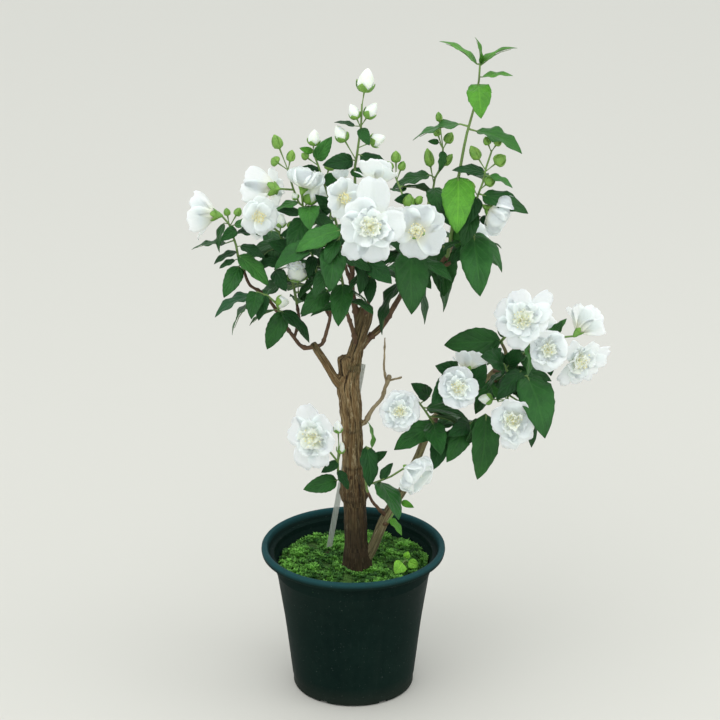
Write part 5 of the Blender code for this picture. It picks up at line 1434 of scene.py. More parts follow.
def frame_of(way):
    """Three directions as rows: two across a way, and the way itself."""
    first = way.orthogonal().normalized()
    return np.array((first, way.cross(first), way))

def egg(z):
    """How a bud narrows from its foot, at -1, to its point, at 1."""
    return 1 - 0.22 * z - 0.10 * np.maximum(z, 0) ** 3

def bud_copy(middle, half_height, half_width, way, kind, draw):
    """An egg with a point. Petals wrapped round it leave twisted creases, and sepals leave straight ones."""
    x, y, z = BUD.points.T
    turn = np.arctan2(y, x)
    if kind == "g":
        crease = 1 - 0.10 * np.abs(np.cos(2 * turn)) ** 3
    else:
        crease = 1 - 0.10 * np.abs(np.sin(1.5 * turn + 2.2 * z + draw.uniform(0, 6))) ** 4
    wide = half_width * crease * egg(z)
    local = np.stack((x * wide, y * wide, (z + 0.12 * np.maximum(z, 0) ** 4) * half_height), axis=1)
    return np.array(middle) + local @ frame_of(way)

def bud_sepal(middle, half_height, half_width, way, turn, share):
    """One sepal that hugs a bud and covers this share of its height."""
    across, along = SEPAL.points[:, 0], SEPAL.points[:, 1]
    z = np.minimum(-1 + 2 * share * along, 1.02)
    round_bud = np.sqrt(np.maximum(1 - z ** 2, 0)) * egg(z)
    radius = half_width * (round_bud + 0.07 + 0.14 * (1 - share) * along ** 2)
    angle = turn + across * 0.80
    local = np.stack((np.cos(angle) * radius, np.sin(angle) * radius, z * half_height), axis=1)
    return np.array(middle) + local @ frame_of(way)

def outward(way, turn):
    """The direction square to a way at this turn about it, and the one a quarter turn on."""
    first, second, up = frame_of(way)
    out = first * math.cos(turn) + second * math.sin(turn)
    return out, np.cross(up, out)

def sepal_copy(foot, way, turn, length, spread_angle, draw):
    """One sepal of an open bloom. It leaves the calyx at an angle from the way and curls back toward it."""
    out, side = outward(way, turn)
    across, along = SEPAL.points[:, 0], SEPAL.points[:, 1]
    width = length * SEPAL_BREADTH
    lean = spread_angle + draw.uniform(-0.15, 0.15)
    radial = np.sin(lean) * along * length + 0.16 * np.sin(np.pi * along) * length
    cup = 0.35 * across ** 2 * width
    return (np.array(foot) + np.outer(radial - cup, out) + np.outer(np.cos(lean) * along * length, way)
            + np.outer(across * width, side))

# %% Materials of stalks, sepals and buds
def soft_paint(name, pale, deep, scale, rough, subsurface=0.0):
    """An even growing surface with a slow change of colour and a very fine relief."""
    paint, tree, shader = new_material(name, Specular_IOR_Level=0.35, Subsurface_Weight=subsurface,
                                       Subsurface_Radius=(0.003, 0.003, 0.002))
    place = add_node(tree, "TexCoord")["Object"]
    mottle = mottled(tree, place, scale)
    fine = noise_at(tree, place, 1400.0, 2.0)
    colour = blend(tree, mottle, deep, pale)
    colour = blend(tree, spread(tree, fine, 0.55, 0.8, 0.0, 0.25), colour, pale)
    feed(tree, shader, colour, spread(tree, mottle, 0, 1, rough - 0.06, rough + 0.08), fine, 0.2 * MM, 0.4)
    return paint

shoot_paint = soft_paint("green_shoot", (0.19, 0.32, 0.085), (0.120, 0.175, 0.055), 45, 0.5)
sepal_paint = soft_paint("sepal_green", (0.240, 0.430, 0.075), (0.120, 0.280, 0.045), 120, 0.5, 0.1)
white_bud_paint = soft_paint("white_bud", (0.90, 0.94, 0.90), (0.82, 0.88, 0.76), 60, 0.5, 0.4)

# %% [markdown]
# ### More leaves
# The CAD model has one solid for each leaf that shows clearly. A real crown has many more, in opposite
# pairs up every shoot, and they fill its shade. They are tried here in turn, and one is kept where it
# touches nothing and where the picture shows foliage, inside one of two rough outlines in pixels.

# %% Fill the crown
CROWN = ((222, 268), (240, 232), (262, 226), (285, 208), (300, 190), (330, 165), (352, 158), (395, 170),
         (428, 172), (448, 200), (470, 170), (500, 186), (518, 212), (500, 262), (482, 285), (452, 300),
         (425, 318), (400, 308), (382, 326), (362, 312), (345, 322), (300, 320), (275, 342), (262, 318),
         (245, 326), (230, 300))
BRANCH = ((398, 436), (412, 405), (440, 358), (470, 338), (500, 326), (530, 318), (560, 340), (556, 395),
          (545, 428), (492, 470), (462, 462), (438, 462), (420, 445))

def inside(outline, point):
    """Whether a pixel lies inside an outline."""
    x, y = point
    odd = False
    for (a, b), (c, d) in zip(outline, outline[1:] + outline[:1]):
        if (b > y) != (d > y) and x < a + (c - a) * (y - b) / (d - b):
            odd = not odd
    return odd

def spots_of(blade, shares):
    """The pixels at which the picture shows these shares of a blade's length."""
    return [Vector(picture(blade.base + blade.axis * blade.length * share)) for share in shares]

def in_foliage(blade):
    return all(inside(CROWN, spot) or inside(BRANCH, spot) for spot in spots_of(blade, (0.3, 0.65, 1.0)))

SHOWN_SPOTS = []
for values in SHOOTS.values():
    SHOWN_SPOTS += [(Vector(bloom[1:3]), bloom[4]) for bloom in values.get("blooms", ())]
    SHOWN_SPOTS += [(Vector(bud[:2]), max(bud[2:4]) * 0.7) for bud in values.get("buds", ())]

def hides_bloom(blade):
    """Whether a leaf shows over a bloom or a bud that the picture shows free."""
    spots = spots_of(blade, (0.1, 0.4, 0.7, 1.0))
    return any((spot - place).length < reach for spot in spots for place, reach in SHOWN_SPOTS)

def more_leaves(node, line, placed, draw):
    """Opposite pairs along a stem, where there is room. Each leaf has five tries, smaller each time."""
    found = []
    level = 0
    others = [other for other in placed if other.kind != "stem" or other.node != node]
    for start, end in zip(line[1:], line[2:]):
        for share in (0.15, 0.5, 0.85):
            level += 1
            root = start.lerp(end, share)
            for half in (0, 1):
                for attempt in range(5):
                    angle = level * 1.57 + half * math.pi + draw.uniform(-0.9, 0.9)
                    out = Vector((math.cos(angle), math.sin(angle), 0))
                    size = draw.uniform(28, 46) * MM * (1 - 0.10 * attempt)
                    blade = back_leaf_pose(root, out, size, draw.uniform(-0.5, 0.35),
                                           draw.uniform(-0.5, 0.5), 0)
                    if not in_foliage(blade) or hides_bloom(blade):
                        continue
                    piece = make_piece(node, "leaf", blade, meshes=[blade_mesh(blade, 0.3 * MM)])
                    if clear_of(piece, others + found):
                        found.append(piece)
                        break
    return found

BARE_SHOOTS = ("tall", "sprout", "low_right", "foot_left")
before = len(placed)
for seed, name in enumerate(name for name in ALL_SHOOTS if name not in BARE_SHOOTS):
    for line, _ in stem_lines(name, ALL_SHOOTS[name]):
        placed += more_leaves("stem_" + name, line, placed, random.Random(500 + seed))
print("more leaves:", len(placed) - before)

# %% Dress every leafy stem
SEPALS_COVER = {"g": 1.02, "r": 0.3}
opening = []

def dress_stem(node, pieces, draw):
    """The leaves, stalks and buds of one leafy stem. A ruffled bud is noted for its petals, made later."""
    name = node.removeprefix("stem_")
    leaves, tones, tubes, green, white = [], [], [], [], []
    for piece in pieces:
        if piece.kind == "leaf":
            points, rib = leaf_copy(piece.shape, draw)
            leaves.append(points)
            shade = draw.uniform(0.82, 1.18)
            tones.append([part * shade for part in TONES[piece.look]] + [1])
            width = max(piece.shape.half_width * 0.075, 0.45 * MM)
            tubes.append((rib, [width * share for share in (1.25, 1, 0.85, 0.7, 0.5, 0.3)]))
        elif piece.kind == "bud":
            line, radii = piece.shape
            middle, half_way = line[-2], line[-1] - line[-2]
            way, half = half_way.normalized(), half_way.length
            foot = middle - way * half * 0.9
            tubes.append(([line[0], line[0].lerp(foot, 0.5), foot], [0.55 * MM, 0.5 * MM, 0.9 * MM]))
            (green if piece.look == "g" else white).append((middle, half, radii[-2], way, piece.look))
            if piece.look == "r":
                opening.append((name, middle, half, radii[-2], way))
        else:
            tubes.append(piece.shape)
    made = []
    if leaves:
        blades = two_sided(joined("leaves", LEAF, leaves, tones))
        made.append(finished(blades, "leaves_" + name, "leaf", [node]))
    made.append(finished(curve_tubes("stalks", tubes, 8), "stalks_" + name, "leaf", [node], shoot_paint))
    sepals = []
    for *egg_shape, kind in green + white:
        share = SEPALS_COVER.get(kind) or draw.uniform(0.42, 0.56)
        sepals += [bud_sepal(*egg_shape, turn * math.pi / 2 + 0.4, share) for turn in range(4)]
    if sepals:
        cups = thicken(joined("sepals", SEPAL, sepals), 0.3 * MM, 1)
        made.append(finished(cups, "sepals_" + name, "leaf", [node], sepal_paint))
    for label, slot, buds, paint in (("green", "leaf", green, sepal_paint),
                                     ("white", "petal", white, white_bud_paint)):
        if buds:
            eggs = joined("buds", BUD, [bud_copy(*bud, draw) for bud in buds])
            made.append(finished(eggs, label + "_buds_" + name, slot, [node], paint))
    return made

by_node = {}
for piece in placed:
    by_node.setdefault(piece.node, []).append(piece)
dressed = 0
for seed, (node, pieces) in enumerate(by_node.items()):
    if node.startswith("stem_"):
        dressed += len(dress_stem(node, pieces, random.Random(seed)))
print("pieces of leafy stems:", dressed)

# %% [markdown]
# ## The blooms
# This is a double mock orange. Its flowers have many more petals than the wild four: broad ones outside,
# smaller and more crumpled ones inward, and a heart of yellow stamens. A bloom that has just opened is a cup
# with its petals held up. One petal is modelled flat, and each copy is curled, cupped and ruffled.

# %% One petal to copy
PETAL_ROWS = (0.30, 0.50, 0.70, 0.86, 0.96, 1.0, 0.985, 0.90, 0.70)
PROFILE_STEPS = 24
PETAL = template_of(shaped_grid(8, 8, PETAL_ROWS))
print("petal template:", len(PETAL.faces), "faces")

def petal_copy(origin, facing, turn, rise, length, breadth, curl, cup, ruffle, draw):
    """The points of one petal. It leaves the heart at an angle, curls along and is cupped across."""
    out, side = outward(facing, turn)
    up = np.array(facing)
    across, along = PETAL.points[:, 0], PETAL.points[:, 1]
    notch, phase, pleats = draw.uniform(0.0, 0.07), draw.uniform(0, math.tau), draw.uniform(0.8, 1.5)
    reach = along - along ** 4 * 0.14 * np.abs(across) ** 2.2
    reach -= along ** 6 * notch * np.exp(-(across / 0.2) ** 2)
    reach += along ** 5 * (0.024 * np.sin(8 * across + phase) + 0.014 * np.sin(19 * across - phase))
    steps = np.linspace(0, 1, PROFILE_STEPS + 1)
    angle = rise + curl * (steps - 0.35) + 0.22 * draw.uniform(-1, 1) * steps ** 3
    halfway = (angle[1:] + angle[:-1]) / 2
    radial = np.concatenate(([0], np.cumsum(np.cos(halfway)) / PROFILE_STEPS))
    raised = np.concatenate(([0], np.cumsum(np.sin(halfway)) / PROFILE_STEPS))
    slope = np.interp(reach, steps, angle)
    folds = ruffle * along ** 1.5 * np.sin(pleats * math.pi * across + phase) * breadth
    folds += ruffle * 0.5 * along ** 3 * np.sin(3.1 * pleats * math.pi * across + 2 * phase) * breadth
    hollow = cup * across ** 2 * breadth + folds
    skew = draw.uniform(-0.08, 0.08) * along ** 2 * length
    outer = np.interp(reach, steps, radial) * length - np.sin(slope) * hollow
    upper = np.interp(reach, steps, raised) * length + np.cos(slope) * hollow
    return (np.array(origin) + np.outer(outer, out) + np.outer(upper, up)
            + np.outer(across * breadth + skew, side))

# %% [markdown]
# ### Petals in their places
# On the blooms at the front every outer petal can be made out, so each is given by where its tip shows.
# The other blooms, and the crumpled hearts, are rings of petals that grow by rule.

# %% Outer petals of the blooms in front
AIM_STEPS = 72
ShownPetal = namedtuple("ShownPetal", "angle length half_breadth rise")
SHOWN_PETALS = {
    "centre_front": ((81, 50, 17, 8), (2, 36, 16, 12), (-85, 36, 16, 4), (-40, 27, 12, 14),
        (-124, 39, 12, 6), (176, 30, 16, 12), (117, 31, 16, 14)),
    "front_right": ((45, 30, 15, 10), (83, 26, 15, 16), (-27, 31, 16, 6), (-99, 28, 16, 4),
        (175, 24, 15, 14), (128, 26, 14, 18)),
    "branch_top": ((102, 30, 13, 10), (40, 40, 9, 4), (17, 31, 10, 14), (-14, 27, 11, 8), (-61, 25, 11, 14),
        (-99, 31, 12, 4), (-153, 27, 12, 10), (154, 29, 13, 6)),
    "branch_near": ((85, 20, 14, 24), (23, 20, 13, 30), (-48, 20, 11, 24), (-108, 22, 13, 14),
        (175, 19, 13, 24)),
    "branch_far": ((18, 38, 7, 4), (0, 31, 8, 12), (46, 25, 10, 16), (-42, 25, 10, 8), (-87, 24, 9, 14),
        (-132, 30, 10, 4), (132, 19, 10, 18)),
    "branch_low_right": ((15, 28, 10, 14), (80, 22, 14, 28), (178, 22, 14, 24), (-101, 30, 10, 6),
        (-63, 26, 13, 10)),
    "branch_mid_front": ((-115, 21, 11, 22), (-59, 21, 11, 20), (-5, 21, 11, 24), (85, 22, 15, 18),
        (168, 20, 13, 24)),
    "branch_low_left": ((87, 21, 14, 18), (9, 20, 14, 14), (-87, 21, 10, 4), (-160, 21, 13, 12),
        (130, 20, 12, 20)),
    "foot_left": ((105, 35, 13, 8), (57, 24, 13, 16), (-24, 20, 13, 20), (-81, 31, 12, 10),
        (-121, 33, 13, 4), (163, 28, 15, 10)),
    "far_left": ((138, 30, 13, 34), (-158, 29, 14, 30), (-125, 28, 11, 38), (176, 25, 13, 46)),
    "top_left_out": ((152, 32, 13, 20), (-168, 33, 12, 16), (25, 18, 9, 24), (-67, 16, 10, 24),
        (85, 18, 10, 30)),
    "centre_up": ((105, 25, 13, 24), (38, 22, 13, 28), (155, 20, 10, 30), (70, 25, 11, 44)),
    "branch_far_up": ((83, 27, 14, 34), (10, 25, 12, 30), (45, 28, 13, 44), (118, 22, 12, 36)),
    "branch_mid_back": ((120, 22, 11, 26), (60, 20, 12, 30), (5, 18, 10, 26), (160, 20, 10, 30)),
    "centre_left": ((62, 21, 12, 16), (175, 15, 14, 22), (-100, 21, 11, 12), (110, 19, 12, 24),
        (-20, 18, 12, 20)),
}

def shown_petals(name, origin, facing, draw):
    """The outer petals of a bloom in front, each turned about the heart until its tip points as it should."""
    scale = pixel_size(origin)
    shapes = []
    for index, petal in enumerate(ShownPetal(*values) for values in SHOWN_PETALS[name]):
        lift = math.radians(petal.rise)
        aim = Vector((math.cos(math.radians(petal.angle)), math.sin(math.radians(petal.angle))))
        best, turn, shown = -2.0, 0.0, 1.0
        for step in range(AIM_STEPS):
            angle = math.tau * step / AIM_STEPS
            way = Vector(outward(facing, angle)[0]) * math.cos(lift) + facing * math.sin(lift)
            flat = Vector((way.dot(RIGHT), way.dot(UP)))
            if flat.normalized().dot(aim) > best:
                best, turn, shown = flat.normalized().dot(aim), angle, flat.length
        length = petal.length * scale / max(shown, 0.6)
        foot = origin + facing * (index % 3) * 0.5 * MM
        shapes.append(petal_copy(foot, facing, turn, lift, length, petal.half_breadth * scale,
                                 draw.uniform(-0.30, 0.0), 0.14, 0.10, draw))
    return shapes

# %% Rings of petals
Ring = namedtuple("Ring", "count rise length breadth curl ruffle cream")
RINGS = {
    "double": ((5, 4, 1.08, 0.58, -0.25, 0.10, False), (4, 15, 0.94, 0.50, -0.05, 0.12, False),
               (6, 22, 0.70, 0.34, 0.1, 0.26, False), (5, 38, 0.50, 0.25, 0.2, 0.42, True),
               (3, 58, 0.36, 0.17, 0.2, 0.50, True)),
    "open": ((5, 4, 1.08, 0.60, -0.2, 0.10, False), (3, 15, 0.90, 0.50, 0.0, 0.12, False),
             (3, 50, 0.38, 0.13, 0.3, 0.40, True)),
    "ball": ((5, 33, 1.52, 0.90, 2.4, 0.03, False), (4, 37, 1.40, 0.86, 2.4, 0.04, False),
             (3, 50, 0.90, 0.46, 1.7, 0.15, True)),
    "frill": ((5, 68, 1.50, 0.66, 0.3, 0.08, False), (8, 50, 1.55, 0.40, -0.3, 0.40, False)),
    "cup": ((4, 46, 1.40, 0.74, 1.3, 0.06, False), (4, 53, 1.24, 0.66, 1.3, 0.10, False),
            (3, 62, 0.70, 0.26, 1.0, 0.25, True)),
}
STAMENS = {"double": 24, "open": 40, "ball": 8, "cup": 12}
LOOKS_LIKE = {"centre_left": "open", "branch_low_left": "double", "low_right": "ball", "top_left_up": "ball",
              "right": "ball"}
WHITE_TONE, CREAM_TONE = (1, 1, 1, 1), (1.0, 0.98, 0.84, 1)
FEW_PETALS = 6

def bloom_petals(name, origin, facing, radius, form, draw):
    """The petals of a bloom, the outer ones first. Where these are given, they take the place of rings."""
    shapes = []
    rings = RINGS[form]
    if name in SHOWN_PETALS:
        shapes = shown_petals(name, origin, facing, draw)
        rings = rings[1:] if form == "double" and len(shapes) < FEW_PETALS else rings[2:]
    tones = [WHITE_TONE] * len(shapes)
    for level, ring in enumerate(Ring(*values) for values in rings):
        start = draw.uniform(0, math.tau)
        foot = origin + facing * (level + bool(shapes)) * 0.03 * radius
        for index in range(ring.count):
            turn = start + math.tau * (index + draw.uniform(-0.2, 0.2)) / ring.count
            rise = ring.rise + draw.uniform(-7, 7) * (2.2 if ring.cream else 1)
            size = radius * (draw.uniform(0.70, 1.15) if ring.cream else draw.uniform(0.90, 1.05))
            shapes.append(petal_copy(foot, facing, turn, math.radians(rise) + (0.05 if index % 2 else 0),
                                     ring.length * size, ring.breadth * size,
                                     ring.curl + draw.uniform(-0.2, 0.2), 0.20, ring.ruffle, draw))
            tones.append(CREAM_TONE if ring.cream else WHITE_TONE)
    return thicken(joined("petals", PETAL, shapes, tones), 0.3 * MM, 0)

# %% A stamen to copy
bpy.ops.mesh.primitive_cone_add(vertices=4, radius1=0.020, radius2=0.012, depth=1, location=(0, 0, 0.5))
FILAMENT = template_of(bpy.context.object)
bpy.ops.mesh.primitive_ico_sphere_add(subdivisions=1, radius=1, location=(0, 0, 0))
ANTHER = template_of(bpy.context.object)

def stamen_copies(origin, facing, radius, number, draw):
    """Filaments that fan out of the heart, and the anther at the end of each."""
    threads, knobs = [], []
    for index in range(number):
        lean = 0.95 * math.sqrt((index + 0.5) / number) + draw.uniform(-0.15, 0.15)
        out, _ = outward(facing, index * 2.4)
        way = Vector(out * math.sin(lean) + np.array(facing) * math.cos(lean))
        length = radius * draw.uniform(0.30, 0.48)
        threads.append(np.array(origin) + (FILAMENT.points * (7 * MM, 7 * MM, length)) @ frame_of(way))
        tip = np.array(origin + way * length)
        knobs.append(tip + (ANTHER.points * (0.65 * MM, 0.5 * MM, 1.0 * MM)) @ frame_of(way))
    return threads, knobs

# %% [markdown]
# ### White that isn't flat
# A petal is thin and lets light through, so shade between petals is soft and a little green. It is cream at
# its foot, cool white at its rim, with very fine lines that fan from the foot. A faint glow of its own colour
# stands for the light that comes through many layers of petals.

# %% Petal, stamen and anther materials
GLOW = 0.065
petal_paint, tree, shader = new_material("white_petal", Specular_IOR_Level=0.3, Emission_Strength=GLOW,
                                         Subsurface_Weight=0.8, Subsurface_Radius=(0.006, 0.006, 0.005),
                                         Subsurface_Scale=1.0)
place = add_node(tree, "TexCoord")
span = add_node(tree, "SeparateXYZ", {0: place["UV"]})[1]
fan = streaks_at(tree, place["UV"], (26, 2.2, 1))
mottle = mottled(tree, place["Object"], 60.0, 1.0)
tint = add_node(tree, "VertexColor", layer_name="tone")["Color"]
colour = layered(
    tree, blend(tree, mottle, (0.83, 0.910, 0.885), (0.87, 0.935, 0.915)),
    (spread(tree, span, 0.50, 0.02, 0.0, 0.9), (0.88, 0.87, 0.60)),
    (spread(tree, fan, 0.55, 0.8, 0.0, 0.35), (0.78, 0.86, 0.82)))
colour = blend(tree, 1.0, colour, tint, "MULTIPLY")
relief = plus(tree, fan, times(tree, mottle, 0.6))
feed(tree, shader, colour, spread(tree, mottle, 0, 1, 0.48, 0.62), relief, 0.35 * MM, 0.5)
tree.links.new(colour, shader.inputs["Emission Color"])
thread_paint = soft_paint("filament", (0.92, 0.93, 0.72), (0.88, 0.88, 0.58), 200, 0.55, 0.3)
anther_paint = soft_paint("anther", (0.92, 0.88, 0.55), (0.88, 0.78, 0.36), 500, 0.7)

# %% Dress every bloom
CALYX_DROP, BOWL_DROP = 4.2 * MM, 3.4 * MM

def dress_bloom(piece, draw):
    """The petals, the yellow heart and the green calyx of one bloom."""
    node, name = piece.node, piece.node.removeprefix("bloom_")
    origin, facing, whorls = piece.shape
    form = "cup" if whorls[0].curl > 0 else "double" if whorls[0].count == 7 else "open"
    _, rise, share = WHORLS[form][0]
    radius = whorls[0].length * math.cos(math.radians(min(rise, 40))) / share
    form = LOOKS_LIKE.get(name, form)
    if form == "ball":
        facing = (facing - TOWARD * facing.dot(TOWARD) * 0.6).normalized()
    made = [finished(bloom_petals(name, origin, facing, radius, form, draw), "petals_" + name, "petal",
                     [node], petal_paint)]
    threads, knobs = stamen_copies(origin + facing * 0.02 * radius, facing, radius, STAMENS[form], draw)
    threads = joined("threads", FILAMENT, threads)
    made.append(finished(threads, "filaments_" + name, "petal", [node], thread_paint))
    made.append(finished(joined("knobs", ANTHER, knobs), "anthers_" + name, "petal", [node], anther_paint))
    start = draw.uniform(0, math.tau)
    sepals = [sepal_copy(origin - facing * CALYX_DROP, facing, start + index * math.tau / 4, radius * 0.5,
                         0.55 if form == "cup" else 0.85, draw) for index in range(4)]
    bowl = bud_copy(origin - facing * BOWL_DROP, 4.2 * MM, 3.0 * MM, -facing, "g", draw)
    cups = thicken(joined("calyx", SEPAL, sepals), 0.35 * MM, 1)
    made.append(finished(cups, "calyx_" + name, "leaf", [node], sepal_paint))
    made.append(finished(joined("bowl", BUD, [bowl]), "receptacle_" + name, "leaf", [node], sepal_paint))
    return made

dressed = 0
for seed, piece in enumerate(piece for piece in placed if piece.kind == "bloom"):
    dressed += len(dress_bloom(piece, random.Random(100 + seed)))
for name, middle, half, broad, way in opening:
    frill = bloom_petals("", middle - way * half * 0.4, way, broad, "frill", random.Random(9))
    finished(frill, "petals_opening_" + name, "petal", ["stem_" + name], petal_paint)
print("pieces of blooms:", dressed + len(opening))

# %% [markdown]
# ## Soil, moss and what stands in it
# The soil fills the pot to about two centimetres below the lip and is all moss and tiny weeds. Its body is
# extruded like the pot's. Lumps are raised by noise, and a carpet of small sprigs makes the nap of the moss.

# %% The body of the soil
SOIL_LOW, SOIL_LOW_RADIUS = FLOOR + GAP, 55.6 * MM
SOIL_RINGS = 36
wall_slope = (RIM_RADIUS - LIP_WIDTH - 6 * MM - (BASE_RADIUS - WALL)) / (POT_HEIGHT - 16 * MM - FLOOR)
soil_radius = BASE_RADIUS - WALL + wall_slope * (SOIL_EDGE - FLOOR) - 0.6 * MM
profile = [(SOIL_LOW_RADIUS, SOIL_LOW), (SOIL_LOW_RADIUS + 1 * MM, 12 * MM),
           (soil_radius - 1.6 * MM, SOIL_EDGE - 4 * MM)]
profile += [(soil_radius * (1 - index / SOIL_RINGS), SOIL_EDGE) for index in range(SOIL_RINGS - 1)]
soil = turned(profile, 120)

def soil_height(x, y):
    """The lumpy top of the moss: a low mound, cushions and small hollows."""
    radius = math.hypot(x, y)
    share = min(radius / soil_radius, 1)
    spot = Vector((x, y, 0))
    cushion = noise.noise(spot / (13 * MM)) * 2.2 + abs(noise.noise(spot / (5 * MM))) * 2.6 - 0.8
    near_edge = min((1 - share) * 9, 1)
    return SOIL_EDGE + 4 * MM * math.cos(share * math.pi / 2) + cushion * near_edge * MM

for vertex in soil.data.vertices:
    if vertex.co.z > SOIL_EDGE - 1 * MM:
        vertex.co.z = soil_height(vertex.co.x, vertex.co.y)
soil.data.shade_smooth()
print("soil:", len(soil.data.polygons), "faces, radius", round(soil_radius * 1000, 1), "mm")

# %% Moss and earth material
soil_paint, tree, shader = new_material("moss_and_earth", Specular_IOR_Level=0.2)
place = add_node(tree, "TexCoord")["Object"]
cushions = mottled(tree, place, 30, 1.5)
fine = noise_at(tree, place, 700.0, 3.0, 0.7)
colour = layered(
    tree, blend(tree, cushions, (0.024, 0.070, 0.014), (0.110, 0.260, 0.045)),
    (spread(tree, fine, 0.35, 0.62, 0.85, 0.0), (0.014, 0.026, 0.008)),
    (spread(tree, cushions, 0.22, 0.05, 0.0, 0.8), (0.045, 0.034, 0.018)))
feed(tree, shader, colour, spread(tree, fine, 0, 1, 0.8, 1.0), fine, 1.2 * MM, 1.0)
finished(soil, "mossy_soil", "mossy_soil", ["soil"], soil_paint)

# %% A sprig of moss to copy
LEAFLETS = 5

def sprig():
    """A tuft of leaflets, each one four-sided face."""
    points, uv = [], []
    for leaflet in range(LEAFLETS):
        turn = math.tau * leaflet / LEAFLETS + 0.4 * (leaflet % 2)
        lean = 0.95 if leaflet % 2 else 0.6
        side = Vector((-math.sin(turn), math.cos(turn), 0)) * 0.24
        tip = Vector((math.cos(turn) * math.sin(lean), math.sin(turn) * math.sin(lean), math.cos(lean)))
        middle = tip * 0.55 + Vector((0, 0, 0.14))
        points += [(0, 0, 0), middle + side, tip, middle - side]
        uv += [(0.5, 0), (1, 0.5), (0.5, 1), (0, 0.5)]
    faces = [tuple(range(first, first + 4)) for first in range(0, len(points), 4)]
    return Template(np.array([tuple(point) for point in points]), faces, np.array(uv))

SPRIG = sprig()

# %% A carpet of sprigs
TUFTS = 3200
TRUNK_ROOM = 15 * MM
DEEP_MOSS, LIGHT_MOSS = np.array((0.030, 0.125, 0.018)), np.array((0.250, 0.620, 0.095))

def moss_tufts(number, draw):
    """Tufts all over the moss, with the tone of each, closer together and lighter on its cushions."""
    trunk_foot = limbs["trunk"][0][1]
    shapes, tones = [], []
    while len(shapes) < number:
        radius = soil_radius * math.sqrt(draw.random()) * 0.985
        turn = draw.uniform(0, math.tau)
        x, y = radius * math.cos(turn), radius * math.sin(turn)
        if math.hypot(x - trunk_foot.x, y - trunk_foot.y) < TRUNK_ROOM:
            continue
        lush = noise.noise(Vector((x, y, 0.3)) / (16 * MM))
        if lush < draw.uniform(-0.55, -0.1):
            continue
        size = draw.uniform(2.2, 4.6) * MM * (1.25 if lush > 0.2 else 1)
        spin = Matrix.Rotation(draw.uniform(0, math.tau), 3, "Z")
        spin = spin @ Matrix.Rotation(draw.uniform(-0.4, 0.4), 3, "X")
        foot = np.array((x, y, soil_height(x, y) - 0.3 * MM))
        shapes.append(foot + SPRIG.points @ np.array(spin.transposed()) * size)
        bright = min(max(0.45 + 1.1 * lush + draw.uniform(-0.45, 0.45), 0), 1)
        tones.append([*(DEEP_MOSS + (LIGHT_MOSS - DEEP_MOSS) * bright), 1])
    return joined("tufts", SPRIG, shapes, tones)

paint, tree, shader = new_material("moss_leaflet", Specular_IOR_Level=0.3, Roughness=0.6)
tone = add_node(tree, "VertexColor", layer_name="tone")["Color"]
span = add_node(tree, "SeparateXYZ", {0: add_node(tree, "TexCoord")["UV"]})[1]
colour = blend(tree, span, blend(tree, 1.0, tone, (0.45, 0.5, 0.5), "MULTIPLY"), tone)
feed(tree, shader, colour, spread(tree, span, 0, 1, 0.75, 0.5))
finished(moss_tufts(TUFTS, random.Random(11)), "moss_tufts", "mossy_soil", ["soil"], paint)
print("moss tufts:", TUFTS)

# %% [markdown]
# ### Label stake and seedling
# A bare strip of clear plastic stands beside the trunk, milky and scratched. A weed seedling has come up at
# the front, with round bright leaves.

# %% Label stake
LABEL_FOOT, LABEL_TOP = (332, 532, 26), (363, 364, 20)
LABEL_WIDTH, LABEL_THICKNESS, LABEL_DEPTH = 5.5 * MM, 0.9 * MM, 22 * MM
foot, top = seen(*LABEL_FOOT), seen(*LABEL_TOP)
way = (top - foot).normalized()
foot -= way * LABEL_DEPTH
bpy.ops.mesh.primitive_cube_add(size=1, location=(foot + top) / 2,
                                rotation=way.to_track_quat("Z", "X").to_euler(),
                                scale=(LABEL_WIDTH, LABEL_THICKNESS, (top - foot).length))
label = bpy.context.object
bpy.ops.object.transform_apply(location=True, rotation=True, scale=True)
bpy.ops.object.mode_set(mode="EDIT")
bpy.ops.mesh.select_mode(type="EDGE")
bpy.ops.mesh.select_all(action="SELECT")
bpy.ops.mesh.bevel(offset=0.3 * MM, segments=2, affect="EDGES")
bpy.ops.object.mode_set(mode="OBJECT")
paint, tree, shader = new_material("milky_plastic", Specular_IOR_Level=0.4, Alpha=0.6)
place = add_node(tree, "TexCoord")["Object"]
scratch = spread(tree, streaks_at(tree, place, (900, 900, 60), 4.0), 0.45, 0.7)
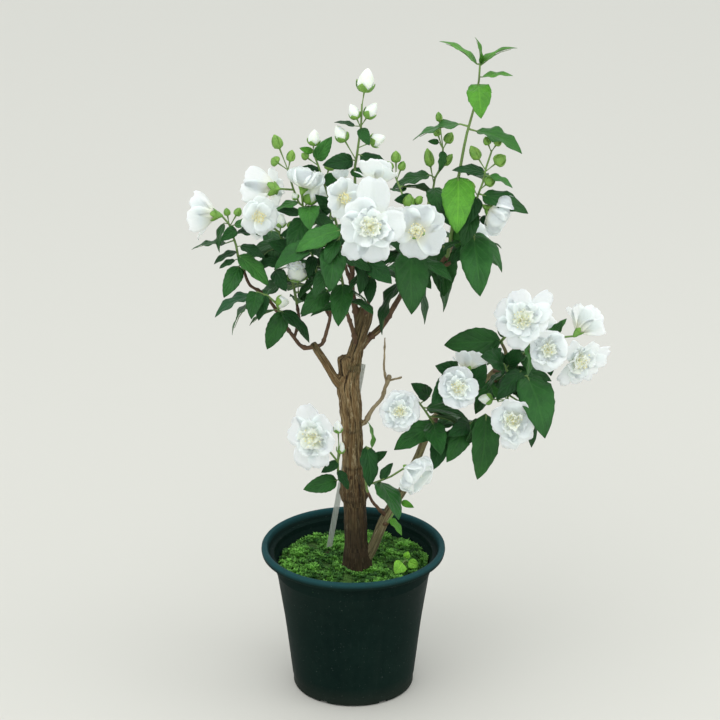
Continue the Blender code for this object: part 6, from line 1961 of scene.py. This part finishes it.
colour = blend(tree, scratch, (0.42, 0.46, 0.41), (0.62, 0.66, 0.62))
grime = spread(tree, mottled(tree, place, 40.0), 0.5, 1.0, 0.0, 0.5)
colour = blend(tree, grime, colour, (0.34, 0.35, 0.25))
feed(tree, shader, colour, spread(tree, scratch, 0, 1, 0.25, 0.5), scratch, 0.1 * MM, 0.3)
finished(label, "label_strip", "clear_label", ["label_stake"], paint)
print("label:", round((top - foot).length * 1000), "mm long")

# %% Seedling
SEEDLING_FOOT = (405, 575, -18)
SEEDLING_TIPS = ((408, 552, -19), (418, 566, -20), (395, 572, -34))
SEEDLING_DEPTH, SEEDLING_HEIGHT = 8 * MM, 12 * MM
foot = seen(*SEEDLING_FOOT)
foot.z = SOIL_EDGE - SEEDLING_DEPTH
crown = Vector((foot.x, foot.y, SOIL_EDGE + SEEDLING_HEIGHT))
draw = random.Random(5)
leaves, tubes = [], [([foot, crown], [1.1 * MM, 0.8 * MM])]
for tip in SEEDLING_TIPS:
    way = seen(*tip) - crown
    axis = way.normalized()
    face = (TOWARD - axis * axis.dot(TOWARD)).normalized()
    blade = Blade(crown, crown + way * 0.25, axis, face, way.length * 0.80, way.length * 0.36, (), 0.1)
    points, rib = leaf_copy(blade, draw)
    leaves.append(points)
    tubes.append((rib[:2], [0.6 * MM, 0.5 * MM]))
blades = two_sided(joined("seedling_leaves", LEAF, leaves, [(0.240, 0.600, 0.060, 1)] * len(leaves)))
finished(blades, "seedling_leaves", "leaf", ["weed_seedling"])
finished(curve_tubes("seedling_stalks", tubes, 8), "seedling_stalks", "leaf", ["weed_seedling"], shoot_paint)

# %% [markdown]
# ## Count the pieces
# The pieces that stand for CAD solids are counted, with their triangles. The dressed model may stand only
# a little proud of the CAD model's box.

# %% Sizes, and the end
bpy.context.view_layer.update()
pieces = [piece for piece in bpy.data.objects if piece.type == "MESH" and "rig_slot" in piece]
for piece in pieces:
    piece.data.calc_loop_triangles()
triangles = [len(piece.data.loop_triangles) for piece in pieces]
print("pieces:", len(pieces), "triangles:", sum(triangles), "most in one:", max(triangles))
